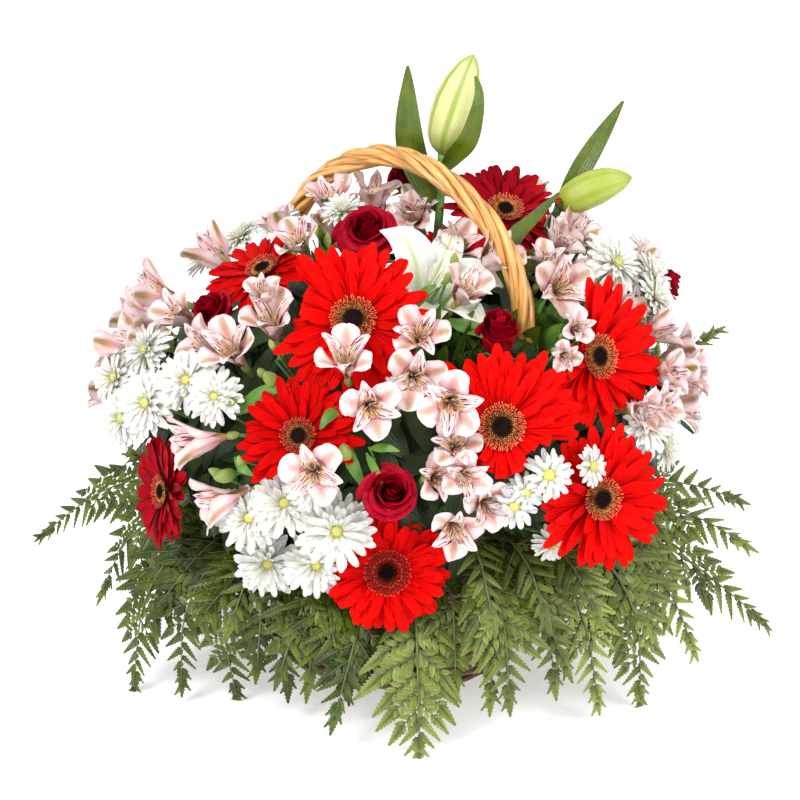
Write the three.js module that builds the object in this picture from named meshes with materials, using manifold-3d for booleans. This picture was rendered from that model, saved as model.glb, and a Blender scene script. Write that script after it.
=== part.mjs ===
// A round basket arrangement of cut flowers: a woven willow bowl with a twisted bow handle,
// a liner and a block of floral foam, and the cut stems of gerberas, roses, lilies,
// alstroemerias, spray chrysanthemums and leather ferns standing in holes in the foam.
// Millimetres, +Z up, origin at the centre of the basket's flat base. The front is -Y.
import * as THREE from 'three';
import Module from 'manifold-3d';

const wasm = await Module();
wasm.setup();

// Basket
const BASE_RADIUS = 90;
const WALL_TOP_RADIUS = 129;
const WALL_HEIGHT = 112;
const WALL_THICKNESS = 5;
const FLOOR_THICKNESS = 6;
const WEAVE_STAKES = 16;
const WEAVE_ROWS = 6;
const WEAVE_RELIEF = 1.4;
const RIM_RADIUS = 6.5;
const RIM_SIDES = 4;
const RIM_STEPS = 36;
const RIM_LAY = 9;

// Handle: half of the bow, as places along its plane and heights, from the foot to the crown
const HANDLE_TURN = -45;
const HANDLE_RADIUS = 8.6;
const HANDLE_GROOVE = 0.8;
const HANDLE_RODS = 5;
const HANDLE_STEPS = 30;
const HANDLE_STEP_TWIST = 40;
const HANDLE_HALF = [
  [-88, 45],
  [-107.5, 96],
  [-125, 165],
  [-134, 235],
  [-134, 290],
  [-123, 338],
  [-99, 371],
  [-64, 395],
  [-28, 408],
];
const HANDLE_CROWN = 411;

// Liner and foam
const GAP = 0.35;
const LINER_SIDES = 16;
const LINER_THICKNESS = 1.6;
const LINER_FOOT_RADIUS = 64;
const LINER_TOP_RADIUS = 96;
const LINER_TOP = 100;
const FOAM_CROWN = 163;

// The flower dome: every stem runs out from the focus, and every bloom stands on an ellipsoid
const FOCUS = new THREE.Vector3(0, 0, 115);
const DOME_CENTRE = new THREE.Vector3(0, 0, 215);
const DOME_AXES = new THREE.Vector3(232, 200, 135);
const STEM_START = 42;
const FORK = 104;

// Blooms
const GERBERA_PETALS = 16;
const GERBERA_SHORT_PETALS = 8;
const MUM_PETALS = 9;
const FROND_STEPS = 8;

const TAU = 2 * Math.PI;
const DEG = Math.PI / 180;
const UP = new THREE.Vector3(0, 0, 1);

const point = (x, y, z) => new THREE.Vector3(x, y, z);
const polar = (radius, angle, z) => point(radius * Math.cos(angle), radius * Math.sin(angle), z);
const ring = (degrees, radius, z) => polar(radius, degrees * DEG, z);
const along = (origin, direction, distance) => origin.clone().addScaledVector(direction, distance);

// Direction from an azimuth, 0 towards +X and -90 towards the front, and an elevation
function heading(azimuth, elevation) {
  return polar(Math.cos(elevation * DEG), azimuth * DEG, Math.sin(elevation * DEG));
}

// The place where the ray from the focus leaves the dome, and proud of it by some millimetres
function onDome(azimuth, elevation, proud) {
  const ray = heading(azimuth, elevation);
  const start = FOCUS.clone().sub(DOME_CENTRE).divide(DOME_AXES);
  const slope = ray.clone().divide(DOME_AXES);
  const a = slope.dot(slope);
  const b = 2 * start.dot(slope);
  const c = start.dot(start) - 1;
  const distance = (-b + Math.sqrt(b * b - 4 * a * c)) / (2 * a);
  return along(FOCUS, ray, distance + proud);
}

// A closed solid from vertices and outward triangles
function solidOf(vertices, triangles) {
  const vertProperties = new Float32Array(vertices.flatMap((vertex) => vertex.toArray()));
  const triVerts = new Uint32Array(triangles.flat());
  return new wasm.Manifold(new wasm.Mesh({ numProp: 3, vertProperties, triVerts }));
}

function union(solids) {
  return solids.reduce((whole, solid) => whole.add(solid));
}

// The biggest body of a solid that a cut may have left in pieces
function biggest(solid) {
  const bodies = solid.decompose();
  return bodies.reduce((best, body) => (body.volume() > best.volume() ? body : best));
}

// Closed rings of vertices joined by walls, with a flat polygon at each end
function skin(rings) {
  const sides = rings[0].length;
  const triangles = [];
  for (let row = 0; row + 1 < rings.length; row += 1) {
    for (let side = 0; side < sides; side += 1) {
      const next = (side + 1) % sides;
      const a = row * sides + side;
      const b = row * sides + next;
      triangles.push([a, b, b + sides], [a, b + sides, a + sides]);
    }
  }
  const last = (rings.length - 1) * sides;
  for (let side = 1; side + 1 < sides; side += 1) {
    triangles.push([0, side + 1, side], [last, last + side, last + side + 1]);
  }
  return solidOf(rings.flat(), triangles);
}

// A solid of revolution or a ring: the rows close on each other
function hoop(rings) {
  const sides = rings[0].length;
  const triangles = [];
  rings.forEach((_, row) => {
    const below = row * sides;
    const above = ((row + 1) % rings.length) * sides;
    for (let side = 0; side < sides; side += 1) {
      const next = (side + 1) % sides;
      triangles.push([below + side, below + next, above + next]);
      triangles.push([below + side, above + next, above + side]);
    }
  });
  return solidOf(rings.flat(), triangles);
}

// How far out a section's corners stand when its flats are to move out by grow
const cornerGrowth = (grow, sides) => grow / Math.cos(Math.PI / sides);

// A rod along a path; its section turns as little as the path lets it
function rod(path, sides, radiusAt, grow = 0, sectionAt = null) {
  const rings = [];
  const extra = cornerGrowth(grow, sides);
  let across = null;
  path.forEach((place, index) => {
    const before = path[Math.max(index - 1, 0)];
    const after = path[Math.min(index + 1, path.length - 1)];
    const tangent = after.clone().sub(before).normalize();
    if (across === null) {
      const helper = Math.abs(tangent.z) > 0.8 ? point(1, 0, 0) : UP;
      across = helper.clone().cross(tangent);
    }
    across.addScaledVector(tangent, -across.dot(tangent)).normalize();
    const other = tangent.clone().cross(across);
    const vertices = [];
    for (let side = 0; side < sides; side += 1) {
      const section = sectionAt ? sectionAt(side, index) : { turn: 0, scale: 1 };
      const angle = (TAU * side) / sides + section.turn;
      const radius = radiusAt(index) * section.scale + extra;
      const vertex = along(place, across, radius * Math.cos(angle));
      vertices.push(vertex.addScaledVector(other, radius * Math.sin(angle)));
    }
    rings.push(vertices);
  });
  return skin(rings);
}

// A thin plate: the same triangles on both faces, and walls along its outline
function plate(places, lifts, faces, outline) {
  const count = places.length;
  const upper = places.map((place, index) => place.clone().add(lifts[index]));
  const lower = places.map((place, index) => place.clone().sub(lifts[index]));
  const triangles = [];
  for (const [a, b, c] of faces) {
    triangles.push([a, b, c], [c + count, b + count, a + count]);
  }
  outline.forEach((a, index) => {
    const b = outline[(index + 1) % outline.length];
    triangles.push([a + count, b + count, b], [a + count, b, a]);
  });
  return solidOf([...upper, ...lower], triangles);
}

// The outline of one ring of petals. Each pair is a radius and a height. A petal is pointed,
// or has a shoulder, where share is how much of its pitch it fills.
function petalOutline(layer, grow) {
  const { petals, notch, shoulder, share, tip, turn = 0, wave = 0 } = layer;
  const half = Math.PI / petals;
  const places = [];
  for (let petal = 0; petal < petals; petal += 1) {
    const middle = 2 * half * petal + turn;
    const lift = wave * Math.sin(2.4 * petal + turn);
    places.push(polar(notch[0] + 2 * grow, middle - half, notch[1]));
    const across = shoulder ? half * share + grow / shoulder[0] : 0;
    if (shoulder) {
      places.push(polar(shoulder[0] + grow, middle - across, shoulder[1] + lift));
    }
    if (tip) {
      places.push(polar(tip[0] + 2 * grow, middle, tip[1] + lift));
    }
    if (shoulder) {
      places.push(polar(shoulder[0] + grow, middle + across, shoulder[1] + lift));
    }
  }
  return places;
}

// A bloom that faces +Z, as one closed mesh: layers of petals from the outside in, a crown
// over the last, and the rings of its stalk below the first. A grown bloom's throat is filled.
function bloomSolid({ layers, crown }, grow, stalk) {
  const vertices = [];
  const triangles = [];
  const add = (place) => vertices.push(place) - 1;
  const addUp = (...face) => triangles.push(face);
  const addDown = (a, b, c) => triangles.push([c, b, a]);
  const bridge = (outer, inner, face) => {
    const share = outer.length / inner.length;
    inner.forEach((place, index) => {
      for (let step = 0; step < share; step += 1) {
        const from = index * share + step;
        face(place, outer[from], outer[(from + 1) % outer.length]);
      }
      const next = (index + 1) % inner.length;
      face(place, outer[(next * share) % outer.length], inner[next]);
    });
  };
  const cap = (loop, face) => {
    for (let index = 1; index + 1 < loop.length; index += 1) {
      face(loop[0], loop[index], loop[index + 1]);
    }
  };

  let below = null;
  layers.forEach((layer) => {
    const outline = petalOutline(layer, grow);
    const half = layer.thick / 2 + grow;
    const upper = outline.map((place) => add(point(place.x, place.y, place.z + half)));
    const lower = outline.map((place) => add(point(place.x, place.y, place.z - half)));
    const step = outline.length / layer.petals;
    for (const [loop, face] of [[upper, addUp], [lower, addDown]]) {
      for (let a = 0; a < loop.length; a += step) {
        const far = a + step - 1;
        face(loop[a], loop[far], loop[(a + step) % loop.length]);
        if (layer.shoulder) {
          face(loop[a], loop[a + 1], loop[far]);
        }
        if (layer.shoulder && layer.tip) {
          face(loop[a + 1], loop[a + 2], loop[far]);
        }
      }
    }
    outline.forEach((_, index) => {
      const next = (index + 1) % outline.length;
      addUp(lower[index], lower[next], upper[next]);
      addUp(lower[index], upper[next], upper[index]);
    });
    const notches = (loop) => loop.filter((_, index) => index % step === 0);
    if (below) {
      bridge(below, notches(lower), addUp);
    } else {
      const rings = stalk.map((places) => places.map(add));
      bridge(notches(lower), rings[0], addDown);
      for (let row = 0; row + 1 < rings.length; row += 1) {
        rings[row].forEach((place, side) => {
          const next = (side + 1) % rings[row].length;
          addUp(place, rings[row + 1][side], rings[row][next]);
          addUp(rings[row + 1][side], rings[row + 1][next], rings[row][next]);
        });
      }
      cap(rings[rings.length - 1], addDown);
    }
    below = notches(upper);
  });
  if (crown.sides) {
    const top = Array.from({ length: crown.sides }, (_, side) => {
      const turn = layers[layers.length - 1].turn ?? 0;
      const angle = (TAU * side) / crown.sides - Math.PI / layers[0].petals + turn;
      return add(polar(crown.radius + grow, angle, crown.height + grow));
    });
    bridge(below, top, addUp);
    cap(top, addUp);
  } else {
    const height = grow > 0 ? Math.max(crown.height, 0) + grow : crown.height;
    const centre = add(point(0, 0, height));
    below.forEach((place, index) => addUp(centre, place, below[(index + 1) % below.length]));
  }
  return solidOf(vertices, triangles);
}

// A leaf or a frond along a curve. Teeth are leaflets cut to the rib on both sides.
function blade(curve, across, form, grow) {
  const { steps, halfWidth, teeth = null, sweep = 0.5, droop = 0, thick = 0.9 } = form;
  const places = [];
  const lifts = [];
  const lowest = thick / 2 + 0.3;
  const add = (place, normal) => {
    place.z = Math.max(place.z, lowest);
    places.push(place);
    lifts.push(normal.clone().multiplyScalar(thick / 2 + grow));
    return places.length - 1;
  };
  const frame = (share) => {
    const tangent = curve.getTangent(share);
    const side = across.clone().addScaledVector(tangent, -across.dot(tangent)).normalize();
    return { tangent, side, normal: side.clone().cross(tangent) };
  };
  const left = [];
  const right = [];
  const leftTeeth = [];
  const rightTeeth = [];
  for (let step = 0; step <= steps; step += 1) {
    const share = step / (steps + 0.7);
    const centre = curve.getPoint(share);
    const { tangent, side, normal } = frame(share);
    const half = halfWidth(share) + grow;
    left.push(add(along(centre, side, -half), normal));
    right.push(add(along(centre, side, half), normal));
    if (teeth && step < steps) {
      const reach = teeth(share) + 2 * grow;
      const rootShare = (step + 0.5) / (steps + 0.7);
      const root = curve.getPoint(rootShare);
      root.addScaledVector(tangent, reach * sweep).addScaledVector(normal, -droop * reach);
      leftTeeth.push(add(along(root, side, -half - reach), normal));
      rightTeeth.push(add(along(root, side, half + reach), normal));
    }
  }
  const end = frame(1);
  const apex = add(along(curve.getPoint(1), end.tangent, 2 * grow), end.normal);
  const faces = [[left[steps], right[steps], apex]];
  for (let step = 0; step < steps; step += 1) {
    faces.push([left[step], right[step], right[step + 1]]);
    faces.push([left[step], right[step + 1], left[step + 1]]);
    if (teeth) {
      faces.push([right[step], rightTeeth[step], right[step + 1]]);
      faces.push([left[step + 1], leftTeeth[step], left[step]]);
    }
  }
  const weave = (edge, tips) => edge.flatMap((place, index) => {
    return teeth && index < steps ? [place, tips[index]] : [place];
  });
  const outline = [
    ...weave(right, rightTeeth),
    apex,
    ...weave(left, leftTeeth).reverse(),
  ];
  return plate(places, lifts, faces, outline);
}

// The turn and place that make what faces +Z at the origin face a direction at a hub
function facing(hub, direction, spin = 0) {
  const side = UP.clone().cross(direction).normalize();
  const other = direction.clone().cross(side);
  const matrix = new THREE.Matrix4().makeBasis(side, other, direction);
  return matrix.multiply(new THREE.Matrix4().makeRotationZ(spin * DEG)).setPosition(hub);
}

// The rings of a stalk from under a bloom to its foot, in the bloom's own frame. Depth is how
// far under the hub the stalk starts, and neck is where it bends towards the foot.
function stalkRings(form, matrix, foot, firstAngle, grow) {
  const { sides, radius, topRadius, depth, neck } = form;
  const inner = foot.clone().applyMatrix4(matrix.clone().invert());
  const bend = point(0, 0, -depth - neck);
  const ray = inner.clone().sub(bend).normalize();
  const path = [point(0, 0, -depth), along(bend, ray, 0.3 * neck), inner];
  const radii = [topRadius, radius, radius];
  let across = point(1, 0, 0);
  return path.map((place, index) => {
    const above = path[Math.max(index - 1, 0)];
    const under = path[Math.min(index + 1, path.length - 1)];
    const axis = index === 0 ? UP.clone() : above.clone().sub(under).normalize();
    across = across.clone().addScaledVector(axis, -across.dot(axis)).normalize();
    const other = axis.clone().cross(across);
    const size = radii[index] + cornerGrowth(grow, sides);
    return Array.from({ length: sides }, (_, side) => {
      const angle = (TAU * side) / sides + firstAngle;
      return along(place, across, size * Math.cos(angle))
        .addScaledVector(other, size * Math.sin(angle));
    });
  });
}

// A bloom standing on its stalk: the whole, the stalk alone, and the petals with its top
function standingBloom({ flower, stalk, hub, direction, spin, foot }) {
  const matrix = facing(hub, direction, spin);
  const first = flower.layers[0];
  const firstAngle = (first.turn ?? 0) - Math.PI / first.petals;
  const rings = (grow) => stalkRings(stalk, matrix, foot, firstAngle, grow);
  return {
    whole: () => bloomSolid(flower, 0, rings(0)).transform(matrix.elements),
    hard: (grow) => skin(rings(grow).reverse()).transform(matrix.elements),
    soft: (grow) => bloomSolid(flower, grow, rings(grow).slice(0, 2)).transform(matrix.elements),
  };
}

// The basket

function wallRadius(z) {
  return BASE_RADIUS + ((WALL_TOP_RADIUS - BASE_RADIUS) * z) / WALL_HEIGHT;
}

// The bowl: staked wall with the weavers' over-and-under as relief, on a flat bottom
function bowl() {
  const sides = 2 * WEAVE_STAKES;
  const circle = (radius, z, relief = () => 0) => {
    return Array.from({ length: sides }, (_, side) => {
      return polar(radius + relief(side), (TAU * side) / sides, z);
    });
  };
  const rows = [];
  for (let row = 0; row <= WEAVE_ROWS; row += 1) {
    const z = (WALL_HEIGHT * row) / WEAVE_ROWS;
    const edge = row === 0 || row === WEAVE_ROWS;
    const relief = (side) => (edge ? 0 : WEAVE_RELIEF * (-1) ** (side + row));
    rows.push(circle(wallRadius(z), z, relief));
  }
  rows.push(circle(WALL_TOP_RADIUS - WALL_THICKNESS, WALL_HEIGHT));
  rows.push(circle(wallRadius(FLOOR_THICKNESS) - WALL_THICKNESS, FLOOR_THICKNESS));
  return skin(rows);
}

// The rolled rim: a ring whose section turns along it like laid rods
function rim() {
  const centre = WALL_TOP_RADIUS - WALL_THICKNESS / 2;
  const z = WALL_HEIGHT + GAP + RIM_RADIUS;
  const rings = [];
  for (let step = 0; step < RIM_STEPS; step += 1) {
    const angle = (TAU * step) / RIM_STEPS;
    const vertices = [];
    for (let side = 0; side < RIM_SIDES; side += 1) {
      const section = (TAU * side) / RIM_SIDES;
      const lay = 0.9 * Math.cos(2 * section + RIM_LAY * angle);
      const radius = RIM_RADIUS - 0.9 + lay;
      const height = z - radius * Math.sin(section);
      vertices.push(polar(centre + radius * Math.cos(section), angle, height));
    }
    rings.push(vertices);
  }
  return hoop(rings);
}

function handlePath() {
  const mirrored = HANDLE_HALF.map(([place, z]) => [-place, z]).reverse();
  const outline = [...HANDLE_HALF, [0, HANDLE_CROWN], ...mirrored];
  const bow = new THREE.CatmullRomCurve3(outline.map(([place, z]) => ring(HANDLE_TURN, place, z)));
  return bow.getSpacedPoints(HANDLE_STEPS);
}

// The bow handle: willow rods laid together in a long twist, standing inside the wall
function handle(grow) {
  const sectionAt = (side, index) => ({
    turn: HANDLE_STEP_TWIST * DEG * index,
    scale: side % 2 === 0 ? 1 : HANDLE_GROOVE,
  });
  return rod(handlePath(), 2 * HANDLE_RODS, () => HANDLE_RADIUS, grow, sectionAt);
}

function turned(profile, sides) {
  const rings = profile.map(([radius, z]) => {
    return Array.from({ length: sides }, (_, side) => polar(radius, (TAU * side) / sides, z));
  });
  return skin(rings);
}

function liner() {
  const foot = FLOOR_THICKNESS + GAP;
  const inner = foot + LINER_THICKNESS;
  return turned([
    [LINER_FOOT_RADIUS, foot],
    [LINER_TOP_RADIUS, LINER_TOP],
    [LINER_TOP_RADIUS - LINER_THICKNESS, LINER_TOP],
    [LINER_FOOT_RADIUS - LINER_THICKNESS, inner],
  ], LINER_SIDES);
}

// The foam block fills the liner and stands above it in a low dome
function foamBlock(grow) {
  const foot = FLOOR_THICKNESS + GAP + LINER_THICKNESS + GAP;
  const inset = LINER_THICKNESS + 2 * GAP;
  return turned([
    [LINER_FOOT_RADIUS - inset, foot],
    [LINER_TOP_RADIUS - inset + grow, LINER_TOP],
    [LINER_TOP_RADIUS - inset - 2 + grow, 120],
    [74 + grow, 145],
    [38, FOAM_CROWN + grow],
  ], LINER_SIDES);
}

// Everything that leaves and petals must stay clear of: basket, rim, foam and handle
function holderEnvelope() {
  const outer = turned([
    [BASE_RADIUS + 2, -1],
    [wallRadius(WALL_HEIGHT) + 2.2, WALL_HEIGHT],
    [WALL_TOP_RADIUS + RIM_RADIUS - 1, WALL_HEIGHT + RIM_RADIUS],
    [WALL_TOP_RADIUS, WALL_HEIGHT + 2 * RIM_RADIUS + 1],
  ], 2 * WEAVE_STAKES);
  return union([outer, foamBlock(0.5), handle(0.5)]);
}

// Gerberas: place on the dome, how far proud, the way they face, petal length and cup.
// Two of them stand beyond the handle's leg, so their stems start to one side of it.
const GERBERAS = [
  { at: [-103, 54, 14], faces: [-93, 24], radius: 60, cup: 5, red: 0xd80a0a },
  { at: [-70, 34, 18], faces: [-86, 16], radius: 60, cup: 3, red: 0xe01010 },
  { at: [-42, 42, 8], faces: [-49, 18], root: [-5, 42], radius: 59, cup: 12, red: 0xdc0c0c },
  { at: [-49, 19, 16], faces: [-62, 10], root: [-66, 8], radius: 56, cup: 8, red: 0xdc0c0c },
  { at: [-93, 7, 14], faces: [-90, 8], radius: 46, cup: 2, red: 0xd40808 },
  { at: [-111, 33, 4], faces: [-100, 28], radius: 46, cup: 5, red: 0xb80606 },
  { at: [-145, 17, 2], faces: [-150, 8], radius: 44, cup: 6, red: 0x8e0612 },
  { at: [-154, 62, 0], faces: [-135, 62], radius: 48, cup: 4, red: 0xc00808 },
  { at: [14, 71, 20], faces: [-75, 56], radius: 50, cup: 5, red: 0xa0081a },
  { at: [74, 38, 10], faces: [80, 32], radius: 54, cup: 6, red: 0xd00a0a },
];
const GERBERA_STALK = { sides: 4, radius: 3, topRadius: 9, depth: 1.4, neck: 14 };

// Long rays, a ring of short rays on them, and the bed that the eye rests on
function gerberaFlower({ radius, cup }) {
  return {
    layers: [
      {
        petals: GERBERA_PETALS,
        notch: [16, 0.8],
        shoulder: [radius, cup],
        share: 0.82,
        thick: 1.2,
        wave: 1.4,
      },
      {
        petals: GERBERA_SHORT_PETALS,
        notch: [13, 3.2],
        tip: [0.55 * radius, 4.6 + cup],
        thick: 1.2,
        turn: 0.2,
      },
    ],
    crown: { height: 3.4 },
  };
}

// The eye: a low dome of disc florets, resting on the short petals
const EYE_SIDES = 6;
const EYE_SEAT = 4;

function gerberaEye({ radius }, grow) {
  const size = 0.19 * radius;
  const foot = EYE_SEAT + GAP - grow;
  const height = 0.1 * radius;
  return turned([
    [size + grow, foot],
    [1.04 * size + grow, foot + 0.55 * height],
    [0.5 * size, foot + height + grow],
  ], EYE_SIDES);
}

// Roses: place, facing, radius
const ROSES = [
  { at: [-92, 24, 18], faces: [-90, 20], radius: 25 },
  { at: [-135, 82, 4], faces: [-100, 50], radius: 25 },
  { at: [-63, 51, 2], faces: [-72, 36], radius: 21 },
  { at: [-146, 50, 4], faces: [-136, 40], radius: 19 },
  { at: [84, 76, 30], faces: [-85, 55], radius: 20 },
  { at: [6, 42, 14], faces: [-10, 35], radius: 20 },
];
const ROSE_STALK = { sides: 5, radius: 2.4, topRadius: 5, depth: 7, neck: 12 };

// A rose: nested cups of broad petals round a rolled core
function roseFlower({ radius }) {
  const layer = (notch, shoulder, turn, tip = null) => ({
    petals: 5,
    notch: notch.map((value) => value * radius),
    shoulder: shoulder.map((value) => value * radius),
    tip: tip ? tip.map((value) => value * radius) : null,
    share: 0.86,
    thick: 1.6,
    turn,
  });
  return {
    layers: [
      layer([0.44, 0.02], [0.9, 0.32], 0, [1, 0.26]),
      layer([0.34, 0.26], [0.72, 0.66], Math.PI / 5),
      layer([0.22, 0.44], [0.42, 0.86], 0),
    ],
    crown: { height: 0.74 * radius },
  };
}

// The open lily and the two lily stalks with their leaves and closed buds
const LILY = { at: [-74, 68, -6], faces: [-60, 50], radius: 62 };
const LILY_STALK = { sides: 6, radius: 2.8, topRadius: 4.5, depth: 25, neck: 14 };

function lilyFlower({ radius }) {
  return {
    layers: [{
      petals: 6,
      notch: [0.17 * radius, -7],
      shoulder: [0.62 * radius, 10],
      tip: [radius, 2],
      share: 0.66,
      thick: 1.5,
    }],
    crown: { height: -20 },
  };
}

const LILY_STALKS = [
  {
    stalk: [[9, 25, 157], [24, 27, 290], [31, 20, 360], [32, 19, 404]],
    bud: [[32, 19, 404], [36, 20, 425], [46, 21, 455], [57, 22, 487]],
    budRadius: 17,
    leaves: [
      { curve: [[31, 20, 360], [9, 24, 414], [6, 24, 478]], halfWidth: 10 },
      { curve: [[32, 20, 366], [60, 44, 416], [68, 40, 462]], halfWidth: 9 },
    ],
  },
  {
    stalk: [[28, 14, 150], [88, 30, 282], [112, 40, 330], [127, 45, 360]],
    bud: [[127, 45, 360], [140, 46, 368], [162, 47, 378], [185, 48, 384]],
    budRadius: 14.5,
    leaves: [
      { curve: [[122, 44, 352], [150, 62, 396], [178, 66, 442]], halfWidth: 7 },
      { curve: [[96, 33, 298], [84, 30, 338], [116, 50, 378]], halfWidth: 9 },
    ],
  },
];
const LILY_STALK_RADIUS = 3.6;

function curveOf(points) {
  return new THREE.CatmullRomCurve3(points.map(([x, y, z]) => point(x, y, z)));
}

function lilyStalk({ stalk, leaves }, grow) {
  const path = stalk.map(([x, y, z]) => point(x, y, z));
  const solids = [rod(path, 5, () => LILY_STALK_RADIUS, grow)];
  for (const leaf of leaves) {
    const curve = curveOf(leaf.curve);
    const across = curve.getTangent(0.5).cross(point(0.3, 1, 0.1)).normalize();
    const halfWidth = (share) => 1.6 + leaf.halfWidth * Math.sin(Math.PI * share);
    solids.push(blade(curve, across, { steps: 4, halfWidth, thick: 1.2 }, grow));
  }
  return union(solids);
}

function lilyBud({ stalk, bud, budRadius }, grow) {
  const curve = curveOf(bud);
  const foot = point(...stalk[stalk.length - 1]);
  const axis = foot.clone().sub(point(...stalk[stalk.length - 2])).normalize();
  const path = curve.getSpacedPoints(5);
  path.forEach((place) => place.addScaledVector(axis, GAP - 0.02));
  path[0].copy(along(foot, axis, GAP));
  const shares = [0.28, 0.72, 1, 0.98, 0.66, 0.16];
  const sectionAt = (side) => ({ turn: 0, scale: side % 2 === 0 ? 1 : 0.88 });
  return rod(path, 6, (index) => budRadius * shares[index], grow, sectionAt);
}

// Alstroemeria sprays: the main stem's heading, then each bloom's place, facing and radius
const ALSTRO_SPRAYS = [
  {
    main: [-171, 45],
    blooms: [
      [[178, 56, 14], [165, 40], 26],
      [[-175, 45, 16], [-178, 25], 26],
      [[-167, 41, 8], [-165, 5], 25],
      [[-168, 34, 12], [-175, -5], 26],
      [[-158, 46, 6], [-140, 30], 23],
    ],
    leaves: [[-163, 38, 64]],
  },
  {
    main: [-127, 46],
    blooms: [
      [[-125, 51, 16], [-110, 60], 25],
      [[-131, 44, 14], [-120, 45], 26],
      [[-119, 41, 12], [-110, 40], 10],
    ],
    leaves: [[-124, 38, 70]],
  },
  {
    main: [-127, 26],
    blooms: [
      [[-132, 28, 18], [-172, -6], 27],
      [[-127, 19, 18], [-168, -16], 27],
      [[-125, 24, 16], [-120, 10], 10],
      [[-106, 27, 24], [-92, 14], 25],
      [[-101, 31, 10], [-95, 40], 10],
    ],
    leaves: [[-122, 27, 82], [-99, 26, 84]],
  },
  {
    main: [-91, 44],
    blooms: [
      [[-102, 45, 24], [-95, 55], 25],
      [[-85, 51, 14], [-86, 32], 23],
      [[-87, 43, 18], [-84, 14], 24],
      [[-96, 38, 20], [-84, 12], 24],
      [[-80, 38, 26], [-88, 10], 26],
    ],
    leaves: [[-99, 36, 78], [-85, 35, 74]],
  },
  {
    main: [-79, 25],
    blooms: [
      [[-83, 27, 10], [-70, 20], 20],
      [[-79, 32, 10], [-88, 30], 20],
      [[-79, 18, 14], [-84, -4], 22],
      [[-73, 22, 10], [-76, 8], 20],
    ],
    leaves: [[-84, 21, 82]],
  },
  {
    main: [150, 75],
    blooms: [
      [[150, 76, 26], [-150, 66], 24],
      [[118, 80, 24], [-60, 74], 24],
      [[-153, 70, 12], [-125, 50], 22],
      [[170, 68, 14], [160, 60], 22],
    ],
    leaves: [],
  },
  {
    main: [-54, 65],
    blooms: [
      [[-44, 67, 14], [-30, 40], 25],
      [[-68, 60, 14], [-50, 50], 23],
      [[-33, 56, 8], [-72, 26], 26],
    ],
    leaves: [[-56, 56, 60], [-38, 62, 52]],
  },
  {
    main: [30, 58],
    blooms: [
      [[12, 58, 18], [-30, 45], 24],
      [[34, 63, 34], [70, 60], 22],
      [[24, 56, 24], [10, 45], 22],
      [[42, 52, 12], [60, 45], 24],
    ],
    leaves: [],
  },
  {
    main: [-20, 37],
    blooms: [
      [[-19, 46, 8], [-10, 35], 22],
      [[-14, 40, 6], [8, 20], 24],
      [[-18, 32, 8], [-4, 6], 25],
      [[-26, 34, 12], [-30, 15], 22],
    ],
    leaves: [[-12, 30, 84]],
  },
  {
    main: [36, 30],
    blooms: [
      [[27, 34, 8], [20, 25], 25],
      [[43, 37, 8], [45, 35], 25],
      [[44, 24, 8], [50, 15], 25],
      [[29, 21, 8], [22, 10], 25],
    ],
    leaves: [[36, 18, 90]],
  },
  {
    main: [163, 29],
    blooms: [
      [[155, 35, 8], [150, 30], 25],
      [[171, 36, 8], [175, 25], 25],
      [[172, 22, 8], [178, 10], 25],
      [[156, 20, 8], [150, 10], 25],
    ],
    leaves: [[164, 16, 90]],
  },
];
// Chrysanthemum sprays, in the same form
const MUM_SPRAYS = [
  {
    main: [-148, 34],
    blooms: [
      [[-160, 38, 2], [-155, 30], 20],
      [[-139, 37, 10], [-110, 32], 22],
      [[-130, 36, 13], [-105, 24], 20],
      [[-148, 31, 8], [-125, 18], 24],
      [[-158, 26, 2], [-150, 12], 22],
    ],
  },
  {
    main: [-113, 15],
    blooms: [
      [[-122, 17, 10], [-102, 24], 26],
      [[-114, 21, 6], [-95, 32], 26],
      [[-103, 17, 15], [-84, 16], 29],
      [[-123, 6, 17], [-98, 0], 27],
      [[-110, 8, 15], [-90, 2], 26],
    ],
  },
  {
    main: [-64, 24],
    blooms: [
      [[-62, 25, 24], [-75, 20], 19],
      [[-68, 21, 22], [-92, 10], 18],
      [[-53, 25, 22], [-14, 14], 16],
      [[-57, 12, 20], [-80, -6], 16],
    ],
  },
  {
    main: [-33, 26],
    blooms: [
      [[-36, 28, 8], [-46, 26], 24],
      [[-29, 23, 4], [-20, 10], 20],
    ],
  },
  {
    main: [1, 49],
    blooms: [
      [[-7, 52, 20], [-45, 42], 27],
      [[14, 55, 14], [-30, 55], 20],
      [[12, 46, 30], [10, 40], 18],
      [[-4, 46, 24], [-10, 30], 20],
      [[-6, 40, 2], [-10, 25], 18],
    ],
  },
  {
    main: [143, 56],
    blooms: [
      [[152, 56, 10], [-160, 55], 20],
      [[148, 63, 12], [-130, 64], 20],
      [[150, 47, 8], [150, 44], 24],
    ],
  },
  {
    main: [116, 30],
    blooms: [
      [[106, 36, 8], [100, 34], 26],
      [[124, 38, 8], [126, 36], 26],
      [[127, 25, 8], [130, 18], 26],
      [[108, 21, 8], [104, 12], 26],
    ],
  },
];
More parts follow.
